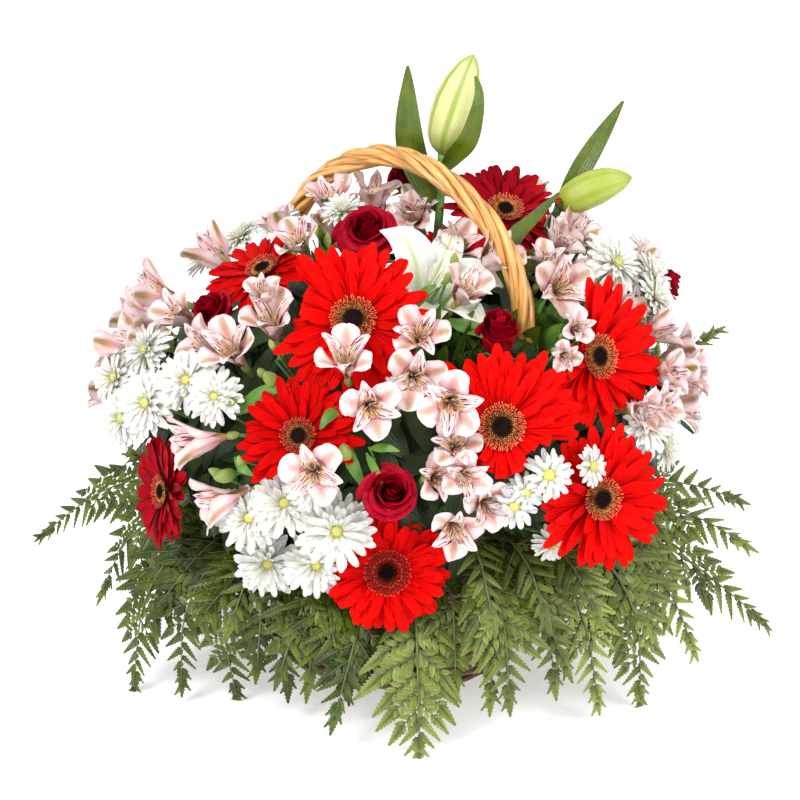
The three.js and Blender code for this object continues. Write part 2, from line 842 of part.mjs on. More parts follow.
// What the two kinds of spray are made of: a trunk radius, a pedicel and a flower by radius
const BUD_SIZE = 10;
const ALSTRO = {
  trunkRadius: 3,
  stalkOf: (radius) => ({
    sides: radius <= BUD_SIZE ? 4 : 3,
    radius: 1.4,
    topRadius: 2.4,
    depth: radius <= BUD_SIZE ? 13 : 15,
    neck: 9,
  }),
  flowerOf: (radius) => ({
    layers: [{
      petals: 6,
      notch: [0.4 * radius, -1],
      tip: [1.04 * radius, 5],
      thick: 1.5,
    }],
    crown: { height: -10.5 },
  }),
};
const MUM = {
  trunkRadius: 2.8,
  stalkOf: () => ({ sides: 3, radius: 1.4, topRadius: 2.8, depth: 1.8, neck: 9 }),
  flowerOf: (radius) => ({
    layers: [{
      petals: MUM_PETALS,
      notch: [0.5 * radius, 0.8],
      tip: [1.05 * radius, 2.6],
      thick: 1.1,
      wave: 0.8,
    }],
    crown: { sides: 3, radius: 0.28 * radius, height: 4 },
  }),
};

// A closed bud on its pedicel
function budSolid(radius, grow) {
  const profile = [[2.4, -13], [0.62 * radius, -6], [0.74 * radius, 2], [0.2 * radius, 13]];
  return turned(profile.map(([size, z]) => [size + grow, z + Math.sign(z) * grow]), 4);
}

// A spray: the main stem to its fork, a pedicel with its bloom for each row, and leaves
function spray({ main, blooms, leaves = [] }, kind, twist) {
  const ray = heading(...main);
  const trunk = (grow) => {
    const path = [along(FOCUS, ray, STEM_START), along(FOCUS, ray, FORK)];
    return rod(path, 3, () => kind.trunkRadius, grow);
  };
  const standing = blooms.map(([at, faces, radius], index) => {
    const row = {
      flower: kind.flowerOf(radius),
      stalk: kind.stalkOf(radius),
      hub: onDome(...at),
      direction: heading(...faces),
      spin: twist * index,
      foot: along(FOCUS, ray, FORK - 3 - 6 * index),
    };
    if (kind === ALSTRO && radius <= BUD_SIZE) {
      const matrix = facing(row.hub, row.direction);
      const bud = (grow) => budSolid(radius, grow).transform(matrix.elements);
      const { hard } = standingBloom(row);
      return { hard, soft: bud, whole: () => hard(0).add(bud(0)) };
    }
    return standingBloom(row);
  });
  const leafSolids = (grow) => leaves.map(([azimuth, elevation, length]) => {
    const start = along(FOCUS, ray, FORK - 3);
    const tip = along(FOCUS, heading(azimuth, elevation), FORK + length);
    const middle = start.clone().lerp(tip, 0.5).addScaledVector(UP, 5);
    const curve = new THREE.QuadraticBezierCurve3(start, middle, tip);
    const halfWidth = (share) => 1 + 5.5 * Math.sin(Math.PI * Math.min(share * 1.1, 1));
    return blade(curve, ring(azimuth + 90, 1, 0), { steps: 3, halfWidth, thick: 1.1 }, grow);
  });
  return {
    whole: () => [trunk(0), ...standing.map(({ whole }) => whole()), ...leafSolids(0)],
    hard: (grow) => union([trunk(grow), ...standing.map(({ hard }) => hard(grow))]),
    soft: (grow) => [...standing.map(({ soft }) => soft(grow)), ...leafSolids(grow)],
  };
}

// Fern fronds in groups that share a root in the foam. Each has the azimuth, the rib's
// places as radius and height from the rim out to the tip, its longest leaflet, and the
// share of the rib that is bare.
const FERN_ROOT = { radius: 46, z: 104 };
const FERN_FAN = { radius: 101, z: 128 };
const FERN_RADIUS = 1.5;
const FERN_GROUPS = [
  {
    root: -71,
    fronds: [
      { azimuth: -86, rib: [[138, 130], [157, 115], [184, 72], [211, 4]], reach: 60, bare: 0.34 },
      { azimuth: -68, rib: [[138, 130], [172, 124], [206, 98], [217, 44]], reach: 54, bare: 0.2 },
      { azimuth: -55, rib: [[138, 130], [172, 122], [193, 92], [204, 42]], reach: 42, bare: 0.2 },
    ],
  },
  {
    root: -14,
    fronds: [
      { azimuth: -33, rib: [[138, 130], [180, 124], [216, 78], [224, 4]], reach: 56, bare: 0.2 },
      { azimuth: -18, rib: [[138, 132], [190, 142], [240, 142], [282, 124]], reach: 46, bare: 0.2 },
      { azimuth: -5, rib: [[138, 130], [192, 124], [250, 88], [300, 30]], reach: 54, bare: 0.2 },
      { azimuth: 9, rib: [[138, 132], [190, 134], [240, 128], [284, 112]], reach: 42, bare: 0.2 },
    ],
  },
  {
    root: 44,
    fronds: [
      { azimuth: 23, rib: [[138, 140], [196, 184], [244, 218], [288, 238]], reach: 30, bare: 0.4 },
      { azimuth: 45, rib: [[138, 130], [192, 124], [240, 88], [270, 36]], reach: 54, bare: 0.2 },
      { azimuth: 66, rib: [[138, 131], [188, 132], [234, 108], [266, 60]], reach: 50, bare: 0.2 },
    ],
  },
  {
    root: 106,
    fronds: [
      { azimuth: 87, rib: [[138, 130], [184, 124], [228, 88], [260, 34]], reach: 54, bare: 0.2 },
      { azimuth: 107, rib: [[138, 131], [184, 128], [228, 98], [256, 48]], reach: 50, bare: 0.2 },
      { azimuth: 125, rib: [[138, 130], [186, 124], [232, 84], [262, 26]], reach: 54, bare: 0.2 },
    ],
  },
  {
    root: 180,
    fronds: [
      { azimuth: 146, rib: [[138, 130], [188, 124], [240, 84], [270, 30]], reach: 54, bare: 0.2 },
      { azimuth: 167, rib: [[138, 131], [192, 134], [252, 116], [312, 70]], reach: 50, bare: 0.2 },
      { azimuth: -173, rib: [[138, 130], [184, 128], [220, 104], [243, 60]], reach: 46, bare: 0.2 },
      { azimuth: -156, rib: [[138, 130], [182, 122], [218, 78], [231, 4]], reach: 54, bare: 0.2 },
      { azimuth: -139, rib: [[138, 130], [160, 115], [180, 72], [170, 5]], reach: 46, bare: 0.34 },
    ],
  },
  {
    root: -112,
    fronds: [
      { azimuth: -120, rib: [[138, 130], [152, 112], [170, 76], [172, 32]], reach: 42, bare: 0.34 },
      { azimuth: -104, rib: [[138, 130], [150, 110], [160, 76], [162, 34]], reach: 40, bare: 0.34 },
    ],
  },
];

function ribOf({ azimuth, rib }) {
  return new THREE.CatmullRomCurve3(rib.map(([radius, z]) => ring(azimuth, radius, z)));
}

// One stalk comes out of the foam, and its petioles fan out over the rim and run in under
// the first leaflets
function fernPetioles({ root, fronds }, grow) {
  const start = ring(root, FERN_ROOT.radius, FERN_ROOT.z);
  const fan = ring(root, FERN_FAN.radius, FERN_FAN.z);
  const petioles = fronds.map((frond) => {
    const rib = ribOf(frond);
    const places = [0, 0.5 * frond.bare, frond.bare + 0.025].map((share) => rib.getPointAt(share));
    return rod([fan, ...places], 3, () => FERN_RADIUS, grow);
  });
  return union([rod([start, fan], 3, () => 1.6 * FERN_RADIUS, grow), ...petioles]);
}

function fernBlades({ fronds }, grow) {
  return fronds.map((frond) => {
    const { azimuth, reach, bare } = frond;
    const rib = ribOf(frond);
    const shares = Array.from({ length: 8 }, (_, index) => bare + ((1 - bare) * index) / 7);
    const leafy = new THREE.CatmullRomCurve3(shares.map((share) => rib.getPointAt(share)));
    const teeth = (share) => reach * (1 - share) ** 0.8 * Math.min(1, 0.62 + 2.2 * share);
    const halfWidth = (share) => 1.7 - share;
    const form = { steps: FROND_STEPS, halfWidth, teeth, sweep: 0.42, droop: 0.1 };
    return blade(leafy, ring(azimuth + 90, -1, 0), form, grow);
  });
}

// Every plant: its green stems stand whole, and its soft parts are cut to clear the others
const GREEN = 0x3f6b2a;
const FERN_GREEN = 0x2f5a2c;
const plants = [];

function addStanding(name, colour, order, row, flower, stalk, spin) {
  const hub = onDome(...row.at);
  const ray = row.root ? heading(...row.root) : hub.clone().sub(FOCUS).normalize();
  const foot = along(FOCUS, ray, STEM_START);
  const direction = heading(...row.faces);
  const { whole, hard, soft } = standingBloom({ flower, stalk, hub, direction, spin, foot });
  plants.push({ name, colour, order, whole: () => [whole()], hard, soft: (grow) => [soft(grow)] });
}

GERBERAS.forEach((row, index) => {
  const matrix = facing(onDome(...row.at), heading(...row.faces));
  const eye = (grow) => [gerberaEye(row, grow).transform(matrix.elements)];
  plants.push({
    name: `gerbera_eye_${index + 1}`,
    colour: 0x1c0a08,
    order: 0,
    whole: () => eye(0),
    soft: eye,
  });
  const name = `gerbera_${index + 1}`;
  addStanding(name, row.red, 1, row, gerberaFlower(row), GERBERA_STALK, 7 * index);
});

ROSES.forEach((row, index) => {
  addStanding(`rose_${index + 1}`, 0x7a0616, 2, row, roseFlower(row), ROSE_STALK, 23 * index);
});

addStanding('lily_flower', 0xf4f2ea, 3, LILY, lilyFlower(LILY), LILY_STALK, 20);
LILY_STALKS.forEach((row, index) => {
  const bud = (grow) => [lilyBud(row, grow)];
  const name = `lily_bud_${index + 1}`;
  plants.push({ name, colour: 0xc8cf86, order: 0, whole: () => bud(0), soft: bud });
  plants.push({
    name: `lily_stalk_${index + 1}`,
    colour: GREEN,
    order: 3,
    whole: () => [lilyStalk(row, 0)],
    hard: (grow) => lilyStalk(row, grow),
    soft: () => [],
  });
});

ALSTRO_SPRAYS.forEach((row, index) => {
  const name = `alstroemeria_${index + 1}`;
  plants.push({ name, colour: 0xe9b6b4, order: 4, ...spray(row, ALSTRO, 25) });
});

MUM_SPRAYS.forEach((row, index) => {
  const name = `chrysanthemum_${index + 1}`;
  plants.push({ name, colour: 0xf3f2ea, order: 5, ...spray(row, MUM, 31) });
});

FERN_GROUPS.forEach((group, index) => {
  plants.push({
    name: `fern_${index + 1}`,
    colour: FERN_GREEN,
    order: 6,
    whole: () => [fernPetioles(group, 0), ...fernBlades(group, 0)],
    hard: (grow) => fernPetioles(group, grow),
    soft: (grow) => fernBlades(group, grow),
  });
});

plants.sort((a, b) => a.order - b.order);

// Cut each piece back from the other plants' stems, the holder and what comes before it,
// but never its own plant's stem
const CLEAR = 0.35;
const holder = holderEnvelope();
const cleared = plants.map(({ hard }) => (hard ? hard(CLEAR) : null));
const taken = [];
const solids = new Map();

function boxOf(solid) {
  const { min, max } = solid.boundingBox();
  return new THREE.Box3(point(...min), point(...max));
}

plants.forEach((plant, index) => {
  const others = cleared.filter((clear, other) => clear && other !== index);
  const own = cleared[index];
  const pieces = plant.whole().map((piece) => {
    const reach = boxOf(piece);
    const near = (obstacle) => boxOf(obstacle).intersectsBox(reach);
    const petals = [holder, ...taken].filter(near);
    const cuts = petals.map((petal) => (own ? petal.subtract(own) : petal));
    return [...others.filter(near), ...cuts].reduce((rest, cut) => rest.subtract(cut), piece);
  });
  solids.set(plant.name, biggest(union(pieces)));
  taken.push(...plant.soft(CLEAR));
});

const basketRim = rim().subtract(handle(CLEAR));
const foam = cleared.reduce((rest, clear) => (clear ? rest.subtract(clear) : rest), foamBlock(0));

// The scene graph
const arrangement = new THREE.Group();
arrangement.name = 'flower_basket_arrangement';

function addNode(parent, name, solid, colour, roughness) {
  const { vertProperties, triVerts } = solid.getMesh();
  const geometry = new THREE.BufferGeometry();
  const positions = new Float32Array(vertProperties);
  geometry.setAttribute('position', new THREE.BufferAttribute(positions, 3));
  geometry.setIndex(new THREE.BufferAttribute(new Uint32Array(triVerts), 1));
  geometry.computeVertexNormals();
  const material = new THREE.MeshStandardMaterial({ color: colour, roughness, metalness: 0 });
  const mesh = new THREE.Mesh(geometry, material);
  mesh.name = name;
  parent.add(mesh);
}

const basket = new THREE.Group();
addNode(basket, 'basket_bowl', bowl(), 0x8a6238, 0.7);
addNode(basket, 'basket_rim', basketRim, 0xa5733c, 0.6);
addNode(basket, 'basket_handle', handle(0), 0xc98d4e, 0.45);
addNode(basket, 'liner', liner(), 0x2a2c28, 0.5);
addNode(basket, 'foam', biggest(foam), 0x3d5a3a, 0.95);
arrangement.add(basket);

const flowers = new THREE.Group();
for (const plant of plants) {
  addNode(flowers, plant.name, solids.get(plant.name), plant.colour, 0.55);
}
arrangement.add(flowers);

export default arrangement;
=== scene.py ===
import math

import bpy
import numpy as np
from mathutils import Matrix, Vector


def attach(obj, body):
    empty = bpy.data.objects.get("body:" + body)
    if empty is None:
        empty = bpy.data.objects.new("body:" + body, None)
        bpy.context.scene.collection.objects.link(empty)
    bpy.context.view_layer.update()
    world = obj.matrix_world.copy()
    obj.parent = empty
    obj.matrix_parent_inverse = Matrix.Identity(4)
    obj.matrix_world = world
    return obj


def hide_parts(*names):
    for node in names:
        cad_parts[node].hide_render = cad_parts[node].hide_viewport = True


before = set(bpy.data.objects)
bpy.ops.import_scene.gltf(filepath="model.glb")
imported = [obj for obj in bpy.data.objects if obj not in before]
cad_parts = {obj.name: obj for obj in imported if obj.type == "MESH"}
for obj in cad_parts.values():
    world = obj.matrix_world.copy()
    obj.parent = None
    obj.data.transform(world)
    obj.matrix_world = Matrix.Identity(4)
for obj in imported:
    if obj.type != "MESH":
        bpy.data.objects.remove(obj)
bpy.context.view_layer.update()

MM = 0.001
TAU = 2 * math.pi
DEG = math.pi / 180
GOLDEN_ANGLE = 2.39996
UP = np.array([0.0, 0.0, 1.0])

# The flower dome, as in the frame: every stem runs out from the focus, and every bloom stands
# on an ellipsoid
FOCUS = np.array([0.0, 0.0, 115.0])
DOME_CENTRE = np.array([0.0, 0.0, 215.0])
DOME_AXES = np.array([232.0, 200.0, 135.0])
# How far from the focus the stems start, those of the loose blooms start, and sprays fork
STEM_START = 42
LOOSE_START = 60
FORK = 104
# Nothing green goes below this height
LOWEST = 0.8

# Basket and handle, as in the frame
BASE_RADIUS = 90
WALL_TOP_RADIUS = 129
WALL_HEIGHT = 112
RIM_RING = 126.5
RIM_HEIGHT = 118.85
HANDLE_TURN = -45
HANDLE_CROWN = 411
HANDLE_HALF = [
    (-88, 45), (-107.5, 96), (-125, 165), (-134, 235), (-134, 290), (-123, 338), (-99, 371),
    (-64, 395), (-28, 408),
]


# Places and directions

def unit(vector):
    return vector / np.linalg.norm(vector)


def polar(radius, degrees, z=0.0):
    return np.array([radius * math.cos(degrees * DEG), radius * math.sin(degrees * DEG), z])


def heading(azimuth, elevation):
    return polar(math.cos(elevation * DEG), azimuth, math.sin(elevation * DEG))


def on_dome(azimuth, elevation, proud):
    """The place where the ray from the focus leaves the dome, and proud of it"""
    ray = heading(azimuth, elevation)
    start = (FOCUS - DOME_CENTRE) / DOME_AXES
    slope = ray / DOME_AXES
    a = slope @ slope
    b = 2 * start @ slope
    c = start @ start - 1
    distance = (-b + math.sqrt(b * b - 4 * a * c)) / (2 * a)
    return FOCUS + ray * (distance + proud)


def stem_foot(hub, start=STEM_START):
    """Where the straight stem from the focus to a bloom begins"""
    return FOCUS + unit(hub - FOCUS) * start


def facing(direction, spin=0.0):
    """Axes, as rows, of a bloom that looks along a direction, spun about it"""
    side = unit(np.cross(UP, direction))
    other = np.cross(direction, side)
    cosine, sine = math.cos(spin * DEG), math.sin(spin * DEG)
    return np.array([cosine * side + sine * other, cosine * other - sine * side, direction])


def around(radius, angle, level):
    """Places at a radius, an angle and a level about the axis z"""
    places = np.broadcast_arrays(radius * np.cos(angle), radius * np.sin(angle), level)
    return np.stack(places, axis=-1)


def spline(points, count):
    """Places evenly stepped along a smooth curve through points"""
    points = np.asarray(points, float)
    knots = np.array([2 * points[0] - points[1], *points, 2 * points[-1] - points[-2]])
    share = np.linspace(0, len(points) - 1, 12 * count)
    index = np.minimum(share.astype(int), len(points) - 2)
    t = (share - index)[:, None]
    p0, p1, p2, p3 = (knots[index + step] for step in range(4))
    curve = 0.5 * (
        2 * p1
        + (p2 - p0) * t
        + (2 * p0 - 5 * p1 + 4 * p2 - p3) * t**2
        + (3 * p1 - p0 - 3 * p2 + p3) * t**3
    )
    reached = travelled(curve)
    wanted = np.linspace(0, reached[-1], count)
    return np.stack([np.interp(wanted, reached, curve[:, axis]) for axis in range(3)], axis=1)


def travelled(path):
    """The length of a path up to each of its points"""
    steps = np.linalg.norm(np.diff(path, axis=0), axis=1)
    return np.concatenate([[0], np.cumsum(steps)])


def each_unit(vectors):
    return vectors / np.linalg.norm(vectors, axis=1, keepdims=True)


def tangents(path):
    return each_unit(np.gradient(path, axis=0))


def keep_above_table(points):
    points[..., 2] = np.maximum(points[..., 2], LOWEST)
    return points


# Meshes

class Shape:
    """Grids of vertices in millimetres, gathered into one mesh. On each grid the UV map runs
    across and along, and the attribute tone holds a shade from 0 to 1."""

    def __init__(self):
        self.vertices, self.tones, self.faces, self.corners, self.slots = [], [], [], [], []
        self.materials = []
        self.count = 0

    def grids(self, points, material, tone=0.5, closed=False):
        """Add grids of count x rows x columns x 3"""
        count, rows, columns = points.shape[:3]
        if material not in self.materials:
            self.materials.append(material)
        wide = columns if closed else columns - 1
        row, column = np.meshgrid(np.arange(rows - 1), np.arange(wide), indexing="ij")
        right = (column + 1) % columns
        low, high = row * columns, (row + 1) * columns
        face = np.stack([low + column, low + right, high + right, high + column], axis=-1)
        face = face.reshape(-1, 4)
        u = np.stack([column, column + 1, column + 1, column], axis=-1).reshape(-1, 4) / wide
        v = np.stack([row, row, row + 1, row + 1], axis=-1).reshape(-1, 4) / (rows - 1)
        first = self.count + np.arange(count)[:, None, None] * rows * columns
        self.faces.append((face[None] + first).reshape(-1, 4))
        self.corners.append(np.tile(np.stack([u, v], axis=-1), (count, 1, 1)).reshape(-1, 2))
        self.slots.append(np.full(count * len(face), self.materials.index(material)))
        tones = np.broadcast_to(np.asarray(tone, float).reshape(-1, 1), (count, rows * columns))
        self.tones.append(tones.reshape(-1))
        self.vertices.append(points.reshape(-1, 3).copy())
        self.count += count * rows * columns

    def grid(self, points, material, tone=0.5, closed=False):
        self.grids(points[None], material, tone, closed)

    def piece(self, name, slot, *replaces):
        """Make the object, ride it on the part, and hide the frame nodes it stands for"""
        faces = np.concatenate(self.faces).astype(np.int32)
        vertices = (np.concatenate(self.vertices) * MM).astype(np.float32)
        mesh = bpy.data.meshes.new(name)
        mesh.vertices.add(len(vertices))
        mesh.vertices.foreach_set("co", vertices.ravel())
        mesh.loops.add(faces.size)
        mesh.loops.foreach_set("vertex_index", faces.ravel())
        mesh.polygons.add(len(faces))
        mesh.polygons.foreach_set("loop_start", np.arange(0, faces.size, 4, dtype=np.int32))
        mesh.polygons.foreach_set("use_smooth", np.ones(len(faces), dtype=bool))
        for material in self.materials:
            mesh.materials.append(material)
        mesh.polygons.foreach_set("material_index", np.concatenate(self.slots).astype(np.int32))
        corners = np.concatenate(self.corners).astype(np.float32)
        mesh.uv_layers.new(name="petal").data.foreach_set("uv", corners.ravel())
        tone = mesh.attributes.new("tone", "FLOAT", "POINT")
        tone.data.foreach_set("value", np.concatenate(self.tones).astype(np.float32))
        mesh.update(calc_edges=True)
        piece = bpy.data.objects.new(name, mesh)
        bpy.context.scene.collection.objects.link(piece)
        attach(piece, "root")
        if replaces:
            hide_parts(*replaces)


def ended_before(points, guests):
    """Petals shortened so that each ends before it reaches another bloom's cup. A guest is a
    hub, an axis, and its cup's levels and radii."""
    blocked = np.zeros(points.shape[:3], bool)
    for hub, axis, levels, radii in guests:
        away = points - hub
        level = away @ axis
        reach = np.linalg.norm(away - level[..., None] * axis, axis=-1)
        inside = reach < np.interp(level, levels, radii) + 1.0
        blocked |= inside & (level > levels[0]) & (level < levels[-1] + 10)
    rows = points.shape[1] - 1
    for petal, stops in enumerate(blocked.any(axis=2)):
        if stops.any():
            spots = np.linspace(0, max(int(np.argmax(stops)) - 1, 2), rows + 1)
            low = np.minimum(spots.astype(int), rows - 1)
            part = (spots - low)[:, None, None]
            points[petal] = points[petal, low] * (1 - part) + points[petal, low + 1] * part
    return points


def petals(shape, place, material, angles, line, outline, rows=8, columns=4, crowd=1.35,
           channel=0.0, ruffle=0.0, frill=0.0, roll=0.0, sway=0.0, tone=0.5, guests=()):
    """A ring of petals round a bloom's axis. Place is the bloom's hub and axes. Line gives each
    petal's radius and height along it, and outline its half width. Crowd is how far the rows
    gather towards the tip, channel how far the edges rise as a share of the half width, ruffle
    the waves along the edges and frill how ragged they are. Roll, sway and tone may be one
    number or one for each petal."""
    hub, axes = place
    angles = np.asarray(angles, float)[:, None]
    along = 1 - (1 - np.linspace(0, 1, rows + 1)) ** crowd
    across = np.linspace(-1, 1, columns + 1)
    roll, sway = (np.asarray(value, float).reshape(-1, 1, 1) for value in (roll, sway))
    radius, height = line(along)
    radius = np.broadcast_to(radius, (len(angles), len(along)))
    height = np.broadcast_to(height, radius.shape)
    frill = 1 + frill * np.sin(23 * along + 4 * angles) * along
    half = (outline(along) * frill * np.ones(radius.shape))[..., None]
    slope_out = np.gradient(radius, axis=1)
    slope_up = np.gradient(height, axis=1)
    size = np.hypot(slope_out, slope_up)[..., None]
    wide = half * across
    rise = channel * half * across**2
    if ruffle:
        waves = np.sin(along[:, None] * 9 + angles[..., None] * 7.0 + across)
        rise = rise + ruffle * np.abs(across) ** 2 * waves
    side = wide * np.cos(roll) - rise * np.sin(roll) + sway * along[:, None] ** 2
    rise = wide * np.sin(roll) + rise * np.cos(roll)
    reach = radius[..., None] - slope_up[..., None] / size * rise
    level = height[..., None] + slope_out[..., None] / size * rise
    cosine, sine = np.cos(angles)[..., None], np.sin(angles)[..., None]
    local = [reach * cosine - side * sine, reach * sine + side * cosine, level + 0 * side]
    points = ended_before(hub + np.stack(local, axis=-1) @ axes, guests)
    shape.grids(points, material, tone)


def turned(shape, place, material, profile, sides=12, tone=0.5, lobes=0, depth=0.0):
    """A surface of revolution about a bloom's axis, from a list of radius and height"""
    hub, axes = place
    angle = np.linspace(0, TAU, sides, endpoint=False)
    profile = np.asarray(profile, float)
    radius = profile[:, :1] * (1 + depth * np.cos(lobes * angle))
    points = hub + around(radius, angle, profile[:, 1:]) @ axes
    shape.grid(points, material, tone, closed=True)


def tube(shape, path, radius, material, sides=6, tone=0.5):
    """A round rod along a path, closed at both ends"""
    path = np.asarray(path, float)
    direction = tangents(path)
    radius = np.broadcast_to(np.asarray(radius, float), len(path))
    path, direction = (np.concatenate([row[:1], row, row[-1:]]) for row in (path, direction))
    radius = np.concatenate([[0.02], radius, [0.02]])
    helper = np.array([1.0, 0.0, 0.0]) if abs(direction[0][2]) > 0.8 else UP
    across = np.cross(helper, direction[0])
    frames = []
    for forward in direction:
        across = unit(across - forward * (across @ forward))
        frames.append((across, np.cross(forward, across)))
    frames = np.array(frames)[:, :, None]
    angle = np.linspace(0, TAU, sides, endpoint=False)[:, None]
    ring = np.cos(angle) * frames[:, 0] + np.sin(angle) * frames[:, 1]
    points = path[:, None] + radius[:, None, None] * ring
    shape.grid(keep_above_table(points), material, tone, closed=True)


def leaf(shape, path, across, half, material, columns=4, fold=0.0, wave=0.0, twist=0.0, tone=0.5):
    """A leaf along a path. Half gives its half width along it; fold raises its edges, wave
    ripples them, and twist turns it about its path."""
    path = np.asarray(path, float)
    share = np.linspace(0, 1, len(path))
    forward = tangents(path)
    side = each_unit(across - forward * (forward @ across)[:, None])
    normal = np.cross(side, forward)
    turn = twist * share[:, None]
    side, normal = (
        side * np.cos(turn) + normal * np.sin(turn),
        normal * np.cos(turn) - side * np.sin(turn),
    )
    columns = np.linspace(-1, 1, columns + 1)
    width = np.array([half(value) for value in share])[:, None]
    rise = fold * width * np.abs(columns)
    rise = rise + wave * columns**2 * np.sin(9.0 * share[:, None] + 2 * columns)
    side = side[:, None] * (width * columns)[..., None]
    points = path[:, None] + side + normal[:, None] * rise[..., None]
    shape.grid(keep_above_table(points), material, tone)


def blade(base, half, power=0.9):
    """A leaf's half width along it"""
    return lambda share: base + half * math.sin(math.pi * share**power) ** 0.8


def swelling(t, full, least, power=1.0):
    """A petal's width, from least at its root to 1 where it is full, and 1 beyond"""
    return least + (1 - least) * np.sin(0.5 * math.pi * np.minimum(1, t / full)) ** power


def blunt(t, start, length, least=0.01):
    """A petal's width at its tip: 1 up to a start, then rounded off over a length"""
    return np.sqrt(np.clip(1 - np.clip((t - start) / length, 0, 1) ** 2, least, 1))


def spaced(number, shift, scatter, random):
    """Angles evenly round a bloom, with some scatter"""
    return (np.arange(number) + shift) * TAU / number + random.normal(0, scatter, number)


def dome(radius, foot, height, steps):
    """The profile of a low dome"""
    return [(radius * math.cos(a), foot + height * math.sin(a)) for a in np.linspace(0, 1.5, steps)]


def packed(number):
    """Evenly packed places on a disc, as shares of its radius and angles"""
    step = np.arange(number)
    return np.sqrt((step + 0.5) / number), step * GOLDEN_ANGLE


# Materials

class Paint:
    """A Principled material. Its colour is built up in washes, each laid over the ones before."""

    def __init__(self, name, base, roughness, **sockets):
        self.material = bpy.data.materials.new(name)
        self.material.use_nodes = True
        self.tree = self.material.node_tree
        self.shader = self.tree.nodes["Principled BSDF"].inputs
        self.base = base
        for socket, value in {"Roughness": roughness, **sockets}.items():
            self.shader[socket.replace("_", " ")].default_value = value

    def put(self, socket, value):
        """Link another node's output, or set a number or a colour"""
        if isinstance(value, bpy.types.NodeSocket):
            self.tree.links.new(value, socket)
        elif isinstance(value, tuple) and len(socket.default_value) == 4:
            socket.default_value = (*value, 1.0)
        else:
            socket.default_value = value

    def node(self, kind, inputs, output=0, **settings):
        """The output of a new node with these inputs and settings"""
        node = self.tree.nodes.new("ShaderNode" + kind)
        for name, value in settings.items():
            setattr(node, name, value)
        for socket, value in inputs.items():
            self.put(node.inputs[socket], value)
        return node.outputs[output]

    def uv(self):
        """How far across and how far along its petal, leaf or rod a place is"""
        place = self.node("UVMap", {}, uv_map="petal")
        return self.node("SeparateXYZ", {0: place}).node.outputs[:2]

    def tone(self):
        return self.node("Attribute", {}, "Fac", attribute_name="tone")

    def math(self, operation, first, second=0.0, clamp=False):
        return self.node("Math", {0: first, 1: second}, operation=operation, use_clamp=clamp)

    def times(self, first, *others):
        for other in others:
            first = self.math("MULTIPLY", first, other)
        return first

    def plus(self, first, second):
        return self.math("ADD", first, second)

    def between(self, value, low, high):
        """0 below low, 1 above high, smooth between them"""
        inputs = {"Value": value, "From Min": low, "From Max": high}
        return self.node("MapRange", inputs, interpolation_type="SMOOTHSTEP")

    def falling(self, value, low, high):
        """1 below low, 0 above high"""
        return self.math("SUBTRACT", 1.0, self.between(value, low, high))

    def off_middle(self, across):
        """How far a place is from the middle line: 0 on it, 0.5 at either side"""
        return self.math("ABSOLUTE", self.math("SUBTRACT", across, 0.5))

    def stripes(self, across, count):
        """Lines along a petal: 1 on a line, 0 between"""
        wave = self.math("SINE", self.times(across, count * TAU))
        return self.plus(self.times(wave, 0.5), 0.5)

    def noise(self, scale, detail=2.0):
        """Noise over the part, with so many features per metre"""
        place = self.node("TexCoord", {}, "Object")
        return self.node("TexNoise", {"Vector": place, "Scale": scale, "Detail": detail})

    def grain(self, across, along, detail=2.0):
        """Noise over the UV map, so many features across and along, another for each tone"""
        shift = self.node("CombineXYZ", {"Z": self.times(self.tone(), 37.0)})
        place = self.node("UVMap", {}, uv_map="petal")
        scale = (across, along, 1.0)
        place = self.node("Mapping", {"Vector": place, "Location": shift, "Scale": scale})
        return self.node("TexNoise", {"Vector": place, "Scale": 1.0, "Detail": detail})

    def ramp(self, value, stops):
        """Make the colour so far a ramp, whose stops are places and colours"""
        self.base = self.node("ValToRGB", {0: value})
        elements = self.base.node.color_ramp.elements
        while len(elements) < len(stops):
            elements.new(1.0)
        for element, (position, colour) in zip(elements, stops):
            element.position = position
            element.color = (*colour, 1.0)

    def wash(self, colour, share, amount=None):
        """Lay a colour over the colour so far, by a share from 0 to 1 and a share of that"""
        if amount is not None:
            share = self.times(share, amount)
        self.base = self.node("Mix", {0: share, 6: self.base, 7: colour}, 2, data_type="RGBA")

    def rough(self, value, low, high):
        """Roughness from low to high as a value goes from 0 to 1"""
        value = self.node("MapRange", {"Value": value, "To Min": low, "To Max": high})
        self.put(self.shader["Roughness"], value)

    def done(self, height=None, depth=0.0, strength=0.0):
        """The material, with a relief that is depth metres deep"""
        if height is not None:
            inputs = {"Height": height, "Distance": depth, "Strength": strength}
            self.put(self.shader["Normal"], self.node("Bump", inputs))
        self.put(self.shader["Base Color"], self.base)
        return self.material


def petal_paint(name, deep, bright, edge, lines=4, roughness=0.5):
    """A petal: fine lines along it, painted shade at its base and sides, lighter towards its tip"""
    paint = Paint(name, deep, roughness, Specular_IOR_Level=0.05)
    across, along = paint.uv()
    streaks = paint.stripes(across, lines)
    # painted shade: the petal starts in its deep colour at the base and turns bright by halfway
    paint.wash(bright, paint.between(along, 0.0, 0.5))
    paint.wash(edge, paint.between(along, 0.6, 1.0), 0.7)
    paint.wash(deep, streaks, 0.2)
    # painted shade along both sides of the petal, where the gaps between petals fall dark
    paint.wash(deep, paint.between(paint.off_middle(across), 0.3, 0.5), 0.35)
    paint.wash(deep, paint.noise(90, 3), 0.35)
    paint.wash(deep, paint.tone(), 0.45)
    return paint.done(paint.plus(streaks, paint.noise(700)), 0.00045, 0.8)


